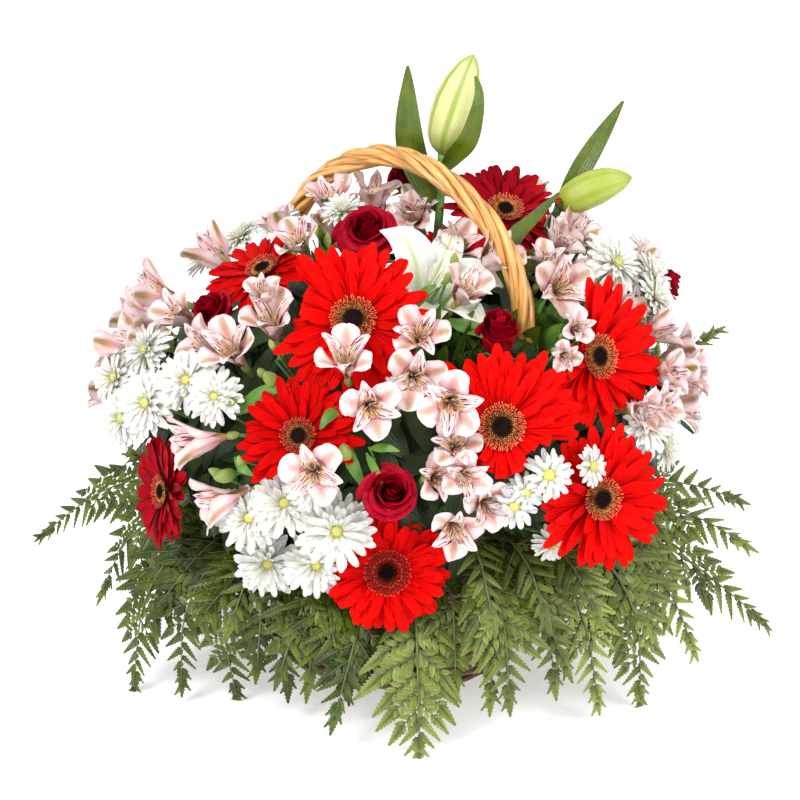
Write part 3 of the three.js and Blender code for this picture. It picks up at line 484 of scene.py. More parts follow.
def tepal_paint(name, ground, rib, tip=None):
    """An alstroemeria tepal: a flushed base, midrib and sides. An outer one has a stripe of
    its own colour near the tip, and a streaked one a yellow patch with dark dashes."""
    paint = Paint(name, ground, 0.42, Specular_IOR_Level=0.4, Subsurface_Weight=0.6,
                  Subsurface_Radius=(1.0, 0.8, 0.75), Subsurface_Scale=0.007)
    across, along = paint.uv()
    middle = paint.off_middle(across)
    midrib = paint.times(paint.falling(middle, 0.02, 0.24), paint.falling(along, 0.55, 1.0), 0.70)
    flush = paint.math("MAXIMUM", midrib, paint.falling(along, 0.08, 0.46))
    flush = paint.math("MAXIMUM", flush, paint.times(paint.between(middle, 0.30, 0.5), 0.3))
    veins = paint.stripes(across, 9)
    paint.wash(rib, paint.between(paint.noise(60), 0.35, 0.7), 0.18)
    paint.wash(rib, flush)
    paint.wash(rib, paint.tone(), 0.20)
    paint.wash(rib, veins, 0.12)
    if tip is None:
        paint.wash((0.84, 0.58, 0.16), paint.falling(along, 0.3, 0.66), 0.6)
        dashes = paint.between(paint.grain(17.0, 4.5, 1), 0.54, 0.60)
        span = paint.times(paint.between(along, 0.22, 0.34), paint.falling(along, 0.78, 0.92))
        paint.wash((0.15, 0.012, 0.025), dashes, span)
    else:
        halo = paint.times(paint.between(along, 0.34, 0.66), paint.falling(middle, 0.04, 0.36),
                           paint.falling(along, 0.86, 1.0))
        paint.wash((0.80, 0.40, 0.26), halo, paint.plus(0.04, paint.times(paint.tone(), 0.9)))
        stripe = paint.times(paint.between(along, 0.46, 0.72), paint.falling(middle, 0.04, 0.24),
                             paint.falling(along, 0.88, 0.98))
        strength = paint.plus(0.06, paint.tone())
        paint.wash(tip, paint.math("MULTIPLY", stripe, strength, clamp=True))
    return paint.done(paint.plus(veins, paint.noise(500)), 0.0003, 0.5)


def leaf_paint(name, dark, light, veins, roughness=0.34):
    """A glossy leaf with veins along it"""
    paint = Paint(name, dark, roughness, Specular_IOR_Level=0.5)
    across, _ = paint.uv()
    lines = paint.stripes(across, veins)
    paint.wash(light, paint.between(paint.noise(45, 3), 0.3, 0.7))
    paint.wash(light, paint.tone())
    paint.wash(dark, lines, 0.18)
    paint.wash(light, paint.falling(paint.off_middle(across), 0.01, 0.06), 0.5)
    paint.rough(paint.noise(120), roughness - 0.08, roughness + 0.14)
    return paint.done(paint.plus(paint.times(lines, 0.6), paint.noise(400)), 0.0005, 0.6)


def willow_paint(name, dark, mid, light, roughness, coat):
    """Peeled willow: grain along the rod, darker skins and knots, a thin varnish"""
    paint = Paint(name, mid, roughness, Coat_Weight=coat, Coat_Roughness=0.25)
    grain = paint.grain(9.0, 42.0, 4)
    streaks = paint.grain(3.0, 9.0)
    paint.ramp(grain, [(0.3, dark), (0.48, mid), (0.72, light)])
    paint.wash(dark, paint.between(streaks, 0.52, 0.68))
    paint.wash(mid, paint.tone(), 0.5)
    paint.rough(streaks, roughness - 0.1, roughness + 0.15)
    return paint.done(grain, 0.0006, 0.7)


def speckled_paint(name, dark, light, scale, roughness, depth=0.0002):
    """An even stuff with a fine grain, such as foam, a stem or a moulded liner"""
    paint = Paint(name, dark, roughness)
    grain = paint.noise(scale, 4)
    paint.wash(light, paint.between(grain, 0.3, 0.7))
    paint.wash(light, paint.tone(), 0.4)
    return paint.done(grain, depth, 0.8)


def disc_paint():
    """The eye of a gerbera: near black in its middle, brown to golden at its edge, by tone"""
    paint = Paint("gerbera_disc", (0, 0, 0), 0.7, Specular_IOR_Level=0.15)
    paint.ramp(paint.tone(), [
        (0.0, (0.008, 0.002, 0.003)),
        (0.35, (0.05, 0.010, 0.006)),
        (0.65, (0.32, 0.11, 0.03)),
        (1.0, (0.86, 0.40, 0.14)),
    ])
    return paint.done(paint.noise(1500), 0.0003, 0.6)


def floret_paint(name, root, tip):
    """A small floret, from its dark root to its pale tip"""
    paint = Paint(name, root, 0.6, Specular_IOR_Level=0.15)
    _, along = paint.uv()
    paint.wash(tip, paint.between(along, 0.45, 1.0))
    paint.wash(root, paint.noise(400), 0.4)
    return paint.done()


def lily_bud_paint():
    """A closed lily bud: cream between its ribs, green on them and at its foot"""
    cream, green, bright = (0.72, 0.74, 0.33), (0.22, 0.32, 0.02), (0.34, 0.42, 0.015)
    paint = Paint("lily_bud", cream, 0.36, Subsurface_Weight=0.15, Subsurface_Scale=0.004)
    across, along = paint.uv()
    ribs = paint.stripes(paint.plus(across, 0.125), 6)
    fine = paint.stripes(across, 60)
    paint.wash(green, paint.between(ribs, 0.66, 1.0), 0.75)
    paint.wash(green, paint.falling(along, 0.0, 0.45), 0.6)
    paint.wash(bright, paint.tone())
    paint.wash(green, paint.between(along, 0.86, 1.0), 0.5)
    paint.wash(green, fine, 0.12)
    return paint.done(fine, 0.0003, 0.5)


def lily_paint():
    """A white lily tepal with a green cast along its midrib and faint ribs"""
    paint = Paint("lily_tepal", (0.90, 0.89, 0.84), 0.4, Sheen_Weight=0.1, Subsurface_Weight=0.45,
                  Subsurface_Radius=(1.0, 0.9, 0.8), Subsurface_Scale=0.004)
    across, along = paint.uv()
    lines = paint.stripes(across, 7)
    midrib = paint.falling(paint.off_middle(across), 0.0, 0.14)
    paint.wash((0.56, 0.66, 0.36), midrib, paint.falling(along, 0.5, 1.0))
    paint.wash((0.70, 0.71, 0.62), lines, 0.22)
    paint.wash((0.84, 0.80, 0.66), paint.noise(50, 3), 0.2)
    return paint.done(lines, 0.0006, 0.8)


def mum_paint():
    """A white chrysanthemum petal: cream at its base, with two shallow furrows"""
    paint = Paint("mum_petal", (0.96, 0.95, 0.90), 0.5, Specular_IOR_Level=0.3,
                  Subsurface_Weight=0.7, Subsurface_Radius=(1.0, 0.93, 0.75),
                  Subsurface_Scale=0.007)
    across, along = paint.uv()
    furrows = paint.stripes(across, 2)
    paint.wash((0.90, 0.88, 0.52), paint.falling(along, 0.0, 0.5), 0.75)
    paint.wash((0.90, 0.87, 0.74), paint.tone(), 0.2)
    paint.wash((0.78, 0.76, 0.62), furrows, 0.12)
    return paint.done(furrows, 0.0005, 0.6)


def fern_paint():
    """Leather fern: deep green with paler patches, waxy, with a pale midrib to each leaflet; painted sheen
    by tone, and painted shade at each leaflet's foot
    """
    paint = Paint("fern_leaflet", (0.018, 0.038, 0.001), 0.4, Specular_IOR_Level=0.3,
                  Coat_Weight=0.06, Coat_Roughness=0.25)
    across, along = paint.uv()
    midrib = paint.falling(paint.off_middle(across), 0.0, 0.10)
    paint.wash((0.082, 0.130, 0.003), paint.between(paint.noise(30, 3), 0.35, 0.66))
    # painted sheen: a pale greyish green by tone, which also varies at random from frond to frond
    paint.wash((0.30, 0.36, 0.08), paint.tone())
    # painted shade at the foot of each leaflet
    paint.wash((0.010, 0.022, 0.001), paint.falling(along, 0.0, 0.55), 0.75)
    paint.wash((0.16, 0.24, 0.06), midrib, 0.4)
    paint.rough(paint.noise(70), 0.26, 0.50)
    return paint.done(paint.plus(paint.noise(500, 3), midrib), 0.0007, 0.8)


SCARLET = petal_paint("gerbera_scarlet", (0.44, 0.0, 0.0), (0.90, 0.001, 0.0), (0.98, 0.008, 0.002))
DEEP_SCARLET = petal_paint("gerbera_deep", (0.32, 0.0, 0.0), (0.76, 0.0, 0.0), (0.84, 0.004, 0.002))
CRIMSON = petal_paint("gerbera_crimson", (0.15, 0.0, 0.004), (0.48, 0.0, 0.008), (0.60, 0.003, 0.016))
ROSE = petal_paint("rose_petal", (0.08, 0.0, 0.002), (0.38, 0.0, 0.010), (0.60, 0.004, 0.034), 3, 0.4)
DISC = disc_paint()
FLORET = floret_paint("gerbera_floret", (0.30, 0.012, 0.004), (0.95, 0.34, 0.12))
RED_FLORET = floret_paint("gerbera_red_floret", (0.20, 0.0, 0.002), (0.86, 0.20, 0.10))
DARK_FLORET = floret_paint("gerbera_dark_floret", (0.14, 0.0, 0.002), (0.72, 0.04, 0.015))
LILY = lily_paint()
LILY_BUD = lily_bud_paint()
LEAF = leaf_paint("lily_leaf", (0.026, 0.062, 0.002), (0.115, 0.175, 0.006), 8)
GREEN_LEAF = leaf_paint("spray_leaf", (0.04, 0.13, 0.015), (0.14, 0.30, 0.04), 6)
# painted shade: a green much darker than the other leaves, for the leaves deep inside the dome
SHADE_CORE_LEAF = leaf_paint("core_leaf_painted_shade", (0.006, 0.020, 0.003), (0.028, 0.070, 0.010), 7, 0.5)
STEM = speckled_paint("stem", (0.07, 0.16, 0.03), (0.16, 0.30, 0.07), 300, 0.45)
TEPAL = tepal_paint("tepal_outer", (0.98, 0.92, 0.90), (0.87, 0.27, 0.33), (0.20, 0.21, 0.015))
STREAKED = tepal_paint("tepal_streaked", (0.97, 0.92, 0.88), (0.82, 0.30, 0.36))
THROAT = floret_paint("tepal_throat", (0.46, 0.38, 0.08), (0.80, 0.38, 0.38))
PISTIL = speckled_paint("lily_pistil", (0.62, 0.70, 0.40), (0.84, 0.86, 0.66), 300, 0.5)
ANTHER = speckled_paint("anther", (0.18, 0.12, 0.08), (0.36, 0.28, 0.20), 900, 0.7)
FILAMENT = floret_paint("filament", (0.75, 0.48, 0.42), (0.92, 0.74, 0.70))
BUD = leaf_paint("spray_bud", (0.09, 0.17, 0.025), (0.34, 0.42, 0.10), 3, 0.4)
MUM = mum_paint()
MUM_DISC = floret_paint("mum_disc", (0.66, 0.66, 0.13), (0.97, 0.93, 0.45))
FERN = fern_paint()
RACHIS = speckled_paint("fern_rachis", (0.07, 0.09, 0.02), (0.17, 0.18, 0.05), 260, 0.5)
WALL = willow_paint(
    "willow_wall", (0.06, 0.035, 0.015), (0.20, 0.12, 0.06), (0.34, 0.22, 0.11), 0.62, 0.0)
RIM = willow_paint(
    "willow_rim", (0.14, 0.06, 0.02), (0.42, 0.22, 0.08), (0.58, 0.34, 0.15), 0.5, 0.1)
HANDLE = willow_paint(
    "willow_handle", (0.27, 0.085, 0.012), (0.74, 0.36, 0.09), (0.93, 0.62, 0.26), 0.38, 0.3)
LINER = speckled_paint("liner", (0.012, 0.014, 0.010), (0.03, 0.034, 0.026), 220, 0.4)
FOAM = speckled_paint("foam", (0.02, 0.06, 0.02), (0.07, 0.15, 0.06), 900, 0.95, 0.0006)


# Gerberas: place on the dome, how far proud, the way they face, radius, cup, paint, how many
# rays in each ring, and how full the middle is
GERBERAS = [
    ((-103, 54, 14), (-93, 24), 60, 5, SCARLET, 18, 0.0),
    ((-70, 34, 18), (-86, 16), 60, 3, SCARLET, 18, 0.2),
    ((-42, 42, 8), (-49, 18), 59, 12, SCARLET, 16, 0.0),
    ((-49, 19, 16), (-62, 10), 56, 8, SCARLET, 16, 0.1),
    ((-93, 7, 14), (-90, 8), 47, 2, SCARLET, 18, 1.0),
    ((-111, 33, 4), (-100, 28), 46, 5, DEEP_SCARLET, 17, 0.5),
    ((-145, 17, 2), (-150, 8), 44, 6, CRIMSON, 16, 0.6),
    ((-154, 62, 0), (-135, 62), 48, 4, DEEP_SCARLET, 17, 0.3),
    ((14, 71, 20), (-75, 56), 50, 5, CRIMSON, 17, 0.2),
    ((74, 38, 10), (80, 32), 54, 6, SCARLET, 17, 0.2),
]
# Gerberas whose stem leaves the foam another way than straight to the bloom: heading
GERBERA_ROOTS = {3: (-5, 42), 4: (-66, 8)}
# How far the disc sits above a gerbera's hub
EYE_SEAT = 4.35
# Above this fullness short dark rays fill the middle of a gerbera
FULL = 0.8


def stalk(shape, place, depth, neck, radii, sides=5, foot=None):
    """A stalk that leaves a bloom along its axis, bends, and runs straight to its foot"""
    hub, axes = place
    foot = stem_foot(hub) if foot is None else foot
    bend = hub - axes[2] * (depth + neck)
    ray = unit(foot - bend)
    top = hub - axes[2] * depth
    path = spline([top, bend + ray * 0.15 * neck, bend + ray * 2.2 * neck, foot], 12)
    share = np.linspace(0, 1, len(path))
    radius = radii[1] + (radii[0] - radii[1]) * np.exp(-9 * share)
    tube(shape, path, radius, STEM, sides)


def ray_rings(radius, cup, count, fullness):
    """The rings of a gerbera: how many rays, their length, width, height and tip's lift"""
    inner = round(count * (0.6 + 0.4 * fullness)) - count
    rings = [
        (0, 1.02, 1.04, 0.8, -3.0),
        (0, 0.97, 1.02, 1.6, -1.2),
        (-1, 0.84 + 0.04 * fullness, 0.94, 2.2, 0.2),
        (inner, 0.60 + 0.10 * fullness, 0.66, 2.8, 1.0),
    ]
    if fullness > FULL:
        rings = [
            (4, 1.02, 1.14, 0.8, -2.0),
            (3, 0.98, 1.14, 2.0, 0.0),
            (2, 0.86, 1.00, 3.0, 1.5),
            (10, 0.56, 0.52, 3.4, 1.0),
        ]
    wide = 0.185 * radius * (17 / count)
    return [(count + more, long * radius, share * wide, base, cup + lift)
            for more, long, share, base, lift in rings]


def gerbera(index, row):
    at, faces, radius, cup, paint, count, fullness = row
    random = np.random.default_rng(100 + index)
    full = fullness > FULL
    hub = on_dome(*at)
    place = hub, facing(heading(*faces), 7 * index)
    shape = Shape()
    tip_start = 0.80 if full else 0.64
    guests = cups_near(hub, 90)
    for ring, (number, length, wide, base, lift) in enumerate(ray_rings(radius, cup, count, fullness)):
        angles = spaced(number, 0.5 * ring, 0.035, random)
        size = 1 + random.uniform(-0.12, 0.04, number)[:, None]
        tip = lift + random.normal(0, 1.9 if ring < 2 else 0.9, number)[:, None]
        arch = random.uniform(0.2, 2.4, number)[:, None]
        start = 0.14 * radius

        def line(t):
            out = start + (length * size - start) * t
            return out, base + tip * t**1.6 + arch * np.sin(math.pi * t)

        def outline(t):
            return 0.5 * wide * swelling(t, 0.62, 0.40, 1.1) * blunt(t, tip_start, 1.012 - tip_start)

        petals(
            shape, place, paint, angles, line, outline, rows=10, channel=0.26,
            roll=random.normal(0, 0.17, number), sway=random.normal(0, 1.9, number),
            tone=random.uniform(0, 1, number), guests=guests,
        )
    eye = (0.14 if full else 0.19) * radius
    for ring in range(7 if full else 4):
        brush = FLORET if fullness < 0.25 else RED_FLORET
        if full and ring not in (2, 6):
            brush = DARK_FLORET
        number = 52 + 4 * ring
        angles = spaced(number, 0.5 * ring, 0.03, random)
        start = 0.87 * eye + (0.032 if full else 0.020) * ring * radius
        long = (0.055 + 0.008 * min(ring, 3)) * radius * random.uniform(0.75, 1.3, number)[:, None]

        def floret_line(t):
            rise = long * (0.8 - 0.1 * min(ring, 4)) * t**0.8
            return start + long * 0.75 * t, 4.8 + 0.7 * min(ring, 3) + rise

        petals(
            shape, place, brush, angles, floret_line, lambda t: 0.0085 * radius * (1 - 0.5 * t),
            rows=2, columns=1, crowd=1.0,
        )
    calyx = [(3.1, -16), (5, -12), (8.4, -5), (0.17 * radius, 0.4), (0.1, 0.9)]
    turned(shape, place, STEM, calyx, 14)
    petals(
        shape, place, STEM, np.arange(16) * TAU / 16, lambda t: (5.5 + 6.5 * t, -11 + 10.5 * t),
        lambda t: 2.0 * (1 - t**2) + 0.05, rows=3, columns=2,
    )
    root = GERBERA_ROOTS.get(index)
    foot = FOCUS + heading(*root) * STEM_START if root else None
    stalk(shape, place, 12, 14, (3.2, 3.0), 7, foot)
    slot = "gerbera_crimson" if paint is CRIMSON else "gerbera_scarlet"
    shape.piece(f"Gerbera_{index}", slot, f"gerbera_{index}")
    gerbera_eye(index, place, radius, eye, full, random)


def florets(shape, place, material, radii, heights, turn, size, lean, tone):
    """Small four-sided florets, standing on a disc and leaning out"""
    hub, axes = place
    corner = np.linspace(0, TAU, 4, endpoint=False)
    rings = []
    for share, girth in ((0.0, 1.0), (0.6, 0.95), (1.0, 0.25)):
        out = radii + lean * size * share
        level = heights + size * share * 1.5
        middle = around(out, turn, level)[:, None]
        rings.append(middle + around(girth * 0.42 * size[:, None], corner, 0.0))
    shape.grids(hub + np.stack(rings, axis=1) @ axes, material, tone, closed=True)


def gerbera_eye(index, place, radius, size, full, random):
    """The disc: dark packed florets in the middle, and golden ones round it unless it is full"""
    shape = Shape()
    crown = dome(size, EYE_SEAT + 0.5, 0.055 * radius, 6)
    turned(shape, place, DISC, [(0.1, EYE_SEAT), (size, EYE_SEAT), *crown, (0.05, crown[-1][1])], 24, 0.1)
    number = 230
    share, turn = packed(number)
    heights = EYE_SEAT + 0.3 + 0.055 * radius * np.sqrt(np.clip(1 - share**2, 0, 1))
    tone = np.clip((share - 0.46) / 0.28, 0, 1) * random.uniform(0.62, 1.0, number)
    if full:
        tone = 0.45 * tone
    tone = np.clip(tone + random.normal(0, 0.03, number), 0, 1)
    girth = (0.95 + 0.5 * share) * random.uniform(0.8, 1.2, number) * radius / 58
    florets(shape, place, DISC, share * size * 0.98, heights, turn, girth, 0.7 * share, tone)
    shape.piece(f"Gerbera_eye_{index}", "gerbera_eye", f"gerbera_eye_{index}")


# Roses: place, facing, radius, and how far open, from a bud at 0 to 1
ROSES = [
    ((-92, 24, 18), (-82, 34), 22, 0.62), ((-135, 82, 4), (-100, 50), 25, 0.9),
    ((-64, 49, 3), (-80, 76), 21, 0.0), ((-146, 50, 4), (-136, 40), 19, 0.4),
    ((84, 76, 30), (-85, 55), 20, 0.3), ((6, 42, 14), (-10, 35), 20, 0.4),
]
# Each ring of a rose, as shares of its radius: petals, body radius, rim radius, rim height,
# how far the lip rolls out, and how many degrees a petal spans
ROSE_RINGS = [
    (2, 0.17, 0.11, 1.00, 0.00, 230),
    (3, 0.27, 0.20, 0.99, 0.02, 190),
    (3, 0.41, 0.33, 0.95, 0.06, 170),
    (3, 0.55, 0.50, 0.88, 0.13, 158),
    (4, 0.67, 0.66, 0.78, 0.21, 132),
    (5, 0.75, 0.80, 0.60, 0.28, 112),
]


def rose_petals(shape, place, radius, ring, row, openness, random):
    """Cupped petals that overlap round the core, with the outer lips rolled back"""
    number, body, rim, top, lip, span = row
    hub, axes = place
    lip = lip * (0.5 + 0.7 * openness)
    top = top * (1 + 0.45 * (1 - openness) ** 2)
    shrink = 0.74 + 0.12 * openness
    drift = np.append(random.normal(0, 0.028 * radius, 2), 0)
    foot = 0.36 * radius
    t = (1 - (1 - np.linspace(0, 1, 13)) ** 1.3)[:, None]
    s = np.linspace(-1, 1, 13)[None]
    for petal in range(number):
        angle = TAU * (petal + 0.5 * ring) / number + random.normal(0, 0.10)
        half = 0.5 * span * DEG * swelling(t, 0.5, 0.45)
        cup = body * np.sin(0.5 * math.pi * np.minimum(1, 0.10 + t / 0.55)) ** 0.85
        swirl = 0.10 * radius * s * (0.5 + body)
        rolled = np.clip((t - 0.74) / 0.26, 0, 1)
        edge = 1 + 0.3 * np.cos(2.4 * s + petal)
        reach = radius * shrink * (cup + (rim - body) * t**2) + swirl * t
        reach = reach + radius * lip * rolled**1.4 * edge
        peak = radius * (top + random.normal(0, 0.04)) - 0.26 * radius * np.abs(s) ** 3 * t
        level = -foot + (peak + foot) * t - radius * lip * 0.9 * rolled**2 * edge
        level = level + 0.012 * radius * np.sin(6 * s + petal + ring) * t
        local = around(reach, angle + s * half, level) + drift * t[..., None]
        shape.grid(hub + local @ axes, ROSE, random.uniform(0, 0.8))


def rose(index, row):
    at, faces, radius, openness = row
    random = np.random.default_rng(200 + index)
    hub, axes = place = on_dome(*at), facing(heading(*faces), 23 * index)
    shape = Shape()
    turn = np.linspace(0, 2.6 * TAU, 80)[None]
    t = np.linspace(0, 1, 6)[:, None]
    reach = radius * (0.012 + 0.115 * (turn / turn.max()) ** 0.9) * (0.8 + 0.2 * t)
    top = 1.14 * (1 + 0.45 * (1 - openness) ** 2) + 0.012 * np.sin(2.3 * turn)
    core = around(reach, turn, radius * (-0.2 + top * t))
    shape.grid(hub + core @ axes, ROSE, 0.3)
    for ring, ring_row in enumerate(ROSE_RINGS):
        rose_petals(shape, place, radius, ring, ring_row, openness, random)
    hip = [(2.4, -0.62 * radius), (0.19 * radius, -0.5 * radius), (0.17 * radius, -0.38 * radius),
           (0.4, -0.3 * radius)]
    turned(shape, place, STEM, hip, 10)

    def sepal_line(t):
        return radius * (0.12 + 0.62 * t), radius * (-0.40 + 0.10 * t - 0.30 * t**2)

    petals(
        shape, place, STEM, np.arange(5) * TAU / 5, sepal_line,
        lambda t: 0.11 * radius * (1 - t) ** 0.8 + 0.1, rows=6, channel=0.3,
    )
    stalk(shape, place, 0.58 * radius, 8, (2.8, 2.4), 7)
    shape.piece(f"Rose_{index}", "rose_red", f"rose_{index}")


# The open lily: place, facing, radius and spin
LILY_PLACE = (-74, 68, -6), (-60, 50), 62, 20
# The lily stalks: the stalk's path, the closed bud's axis and radius, and leaves, each with
# its path, half width and the power that moves its widest place
LILY_STALKS = [
    ([
        (9, 25, 157), (24, 27, 290), (31, 20, 360), (33, 19, 412),
    ], [
        (33, 19, 410), (37, 20, 428), (46, 21, 456), (57, 22, 487),
    ], 17, [
        ([(31, 20, 360), (9, 24, 414), (6, 24, 478)], 10, 0.92),
        ([
            (33, 15, 396), (42, 3, 411), (53, -6, 426), (59, -8, 446), (61, -4, 462), (58, 2, 474),
        ], 6.3, 0.8),
    ]),
    ([
        (28, 14, 150), (88, 30, 282), (112, 40, 330), (127, 45, 360),
    ], [
        (127, 45, 360), (140, 46, 368), (162, 47, 378), (185, 48, 384),
    ], 14.5, [
        ([(122, 44, 352), (150, 62, 396), (178, 66, 442)], 7, 0.92),
        ([(96, 33, 298), (84, 30, 338), (116, 50, 378)], 9, 0.92),
        ([(74, 20, 256), (78, -20, 298), (86, -16, 345), (104, -6, 363), (125, 14, 379)], 7.0, 1.1),
        ([(78, 22, 262), (88, -14, 316), (104, -20, 337), (132, -8, 336)], 7.0, 0.92),
    ]),
]
# The shape of a bud, as shares of its length and of its radius
BUD_SWELL = (
    (0, 0.03, 0.08, 0.17, 0.32, 0.52, 0.72, 0.88, 0.97, 1),
    (0.26, 0.46, 0.66, 0.85, 0.97, 1.0, 0.84, 0.54, 0.22, 0.05),
)


def rz_line(stops):
    """A petal's radius and height along it, smooth through a few stops"""
    curve = spline([(out, 0.0, up) for out, up in stops], 40)
    share = np.linspace(0, 1, 40)
    return lambda t: (np.interp(t, share, curve[:, 0])[None], np.interp(t, share, curve[:, 2])[None])


def sideways(axes, angle):
    """A direction across a bloom's axis"""
    return axes[0] * math.cos(angle) + axes[1] * math.sin(angle)


def lily_flower():
    at, faces, radius, spin = LILY_PLACE
    random = np.random.default_rng(300)
    direction = heading(*faces)
    hub, axes = place = on_dome(*at), facing(direction, spin)
    shape = Shape()
    for ring, (wide, reach) in enumerate(((13.5, 1.0), (17.5, 0.97))):
        line = rz_line([(3, -26), (9, -12), (0.40 * radius, 8),
                        (0.72 * reach * radius, 11 + 2 * ring), (reach * radius, 0)])
        petals(
            shape, place, LILY, (np.arange(3) * 120 + 60 * ring + 30) * DEG, line,
            lambda t: wide * np.sin(math.pi * np.clip(0.08 + 0.92 * t, 0, 1) ** 0.85) ** 0.8 + 0.15,
            rows=18, columns=8, channel=0.18, ruffle=1.2, roll=random.normal(0, 0.12, 3),
            tone=random.uniform(0, 0.5, 3),
        )
    bottom = hub - direction * 20
    for index in range(6):
        side = sideways(axes, index * TAU / 6)
        path = spline([bottom, hub + side * 4, hub + side * 10 + direction * 15], 9)
        tube(shape, path, 0.7, PISTIL, 5)
    tip = hub + direction * 20 + axes[0] * 2
    tube(shape, spline([bottom, hub + direction * 6, tip], 8), 1.0, PISTIL)
    stalk(shape, place, 24, 14, (4.2, 2.8), 7)
    shape.piece("Lily_flower", "lily_white", "lily_flower")


def lily_stalk(index, row):
    path, bud, radius, leaves = row
    random = np.random.default_rng(310 + index)
    shape = Shape()
    tube(shape, spline(path, 30), 3.5, STEM, 8)
    for curve, half, widest in leaves:
        points = spline(curve, 22)
        across = unit(np.cross(tangents(points)[11], (0.3, 1.0, 0.1)))

        def width(share):
            swell = math.sin(math.pi * share**widest) ** 0.9
            return 1.0 + 1.12 * half * swell * (1 - 0.12 * share)

        leaf(shape, points, across, width, LEAF, columns=6, fold=-0.24, wave=0.8,
             twist=random.uniform(-0.3, 0.3), tone=random.uniform(0, 0.3))
    shape.piece(f"Lily_stalk_{index}", "lily_leaf_green", f"lily_stalk_{index}")

    shape = Shape()
    axis = spline(bud, 26)
    swell = np.interp(np.linspace(0, 1, 26), *BUD_SWELL)
    forward = tangents(axis)
    across = each_unit(np.cross(forward, (0.2, 1.0, 0.1)))[:, None]
    other = np.cross(forward, across[:, 0])[:, None]
    angle = np.linspace(0, TAU, 36, endpoint=False)[:, None]
    lobes = 1 + 0.035 * np.cos(3 * angle) + 0.022 * np.cos(6 * angle)
    ring = np.cos(angle) * across + np.sin(angle) * other
    points = axis[:, None] + ring * (radius * swell[:, None, None] * lobes)
    shape.grid(points, LILY_BUD, 0.1 if index == 1 else 0.8, closed=True)
    shape.piece(f"Lily_bud_{index}", "lily_bud_green", f"lily_bud_{index}")


# Alstroemeria sprays: the main stem's heading; each bloom's place, facing and radius, where
# a radius of 10 is a bud; and each leaf's heading and length
BUD_SIZE = 10
ALSTRO_SPRAYS = [
    ((-171, 45), [
        ((178, 56, 14), (165, 40), 26), ((-175, 45, 16), (-178, 25), 26),
        ((-167, 41, 8), (-165, 5), 25), ((-168, 34, 12), (-175, -5), 26),
        ((-158, 46, 6), (-140, 30), 23),
    ], [(-163, 38, 64)]),
    ((-127, 46), [
        ((-125, 51, 16), (-110, 60), 25), ((-131, 44, 14), (-120, 45), 26),
        ((-119, 41, 12), (-110, 40), 10),
    ], [(-124, 38, 70)]),
    ((-127, 26), [
        ((-132, 28, 18), (-172, -6), 27), ((-127, 19, 18), (-168, -16), 27),
        ((-125, 24, 16), (-120, 10), 10), ((-106, 27, 24), (-92, 14), 25),
        ((-101, 31, 10), (-95, 40), 10),
    ], [(-122, 27, 82), (-99, 26, 84)]),
    ((-91, 44), [
        ((-102, 45, 24), (-95, 55), 25), ((-85, 51, 14), (-86, 32), 23),
        ((-87, 43, 18), (-84, 14), 24), ((-96, 38, 20), (-84, 12), 24),
        ((-80, 38, 26), (-88, 10), 26),
    ], [(-99, 36, 78), (-85, 35, 74)]),
    ((-79, 25), [
        ((-83, 27, 10), (-70, 20), 20), ((-79, 32, 10), (-88, 30), 20),
        ((-79, 18, 14), (-84, -4), 22), ((-73, 22, 10), (-76, 8), 20),
    ], [(-84, 21, 82)]),
    ((150, 75), [
        ((150, 76, 26), (-150, 66), 24), ((118, 80, 24), (-60, 74), 24),
        ((-153, 70, 12), (-125, 50), 22), ((170, 68, 14), (160, 60), 22),
    ], []),
    ((-54, 65), [
        ((-44, 67, 14), (-30, 40), 25), ((-68, 60, 14), (-50, 50), 23),
        ((-33, 56, 8), (-72, 26), 26),
    ], [(-56, 56, 60), (-38, 62, 52)]),
    ((30, 58), [
        ((12, 58, 18), (-30, 45), 24), ((34, 63, 34), (70, 60), 22), ((24, 56, 24), (10, 45), 22),
        ((42, 52, 12), (60, 45), 24),
    ], []),
    ((-20, 37), [
        ((-19, 46, 8), (-10, 35), 22), ((-14, 40, 6), (8, 20), 24), ((-18, 32, 8), (-4, 6), 25),
        ((-26, 34, 12), (-30, 15), 22),
    ], [(-12, 30, 84)]),
    ((36, 30), [
        ((27, 34, 8), (20, 25), 25), ((43, 37, 8), (45, 35), 25), ((44, 24, 8), (50, 15), 25),
        ((29, 21, 8), (22, 10), 25),
    ], [(36, 18, 90)]),
    ((163, 29), [
        ((155, 35, 8), (150, 30), 25), ((171, 36, 8), (175, 25), 25), ((172, 22, 8), (178, 10), 25),
        ((156, 20, 8), (150, 10), 25),
    ], [(164, 16, 90)]),
]
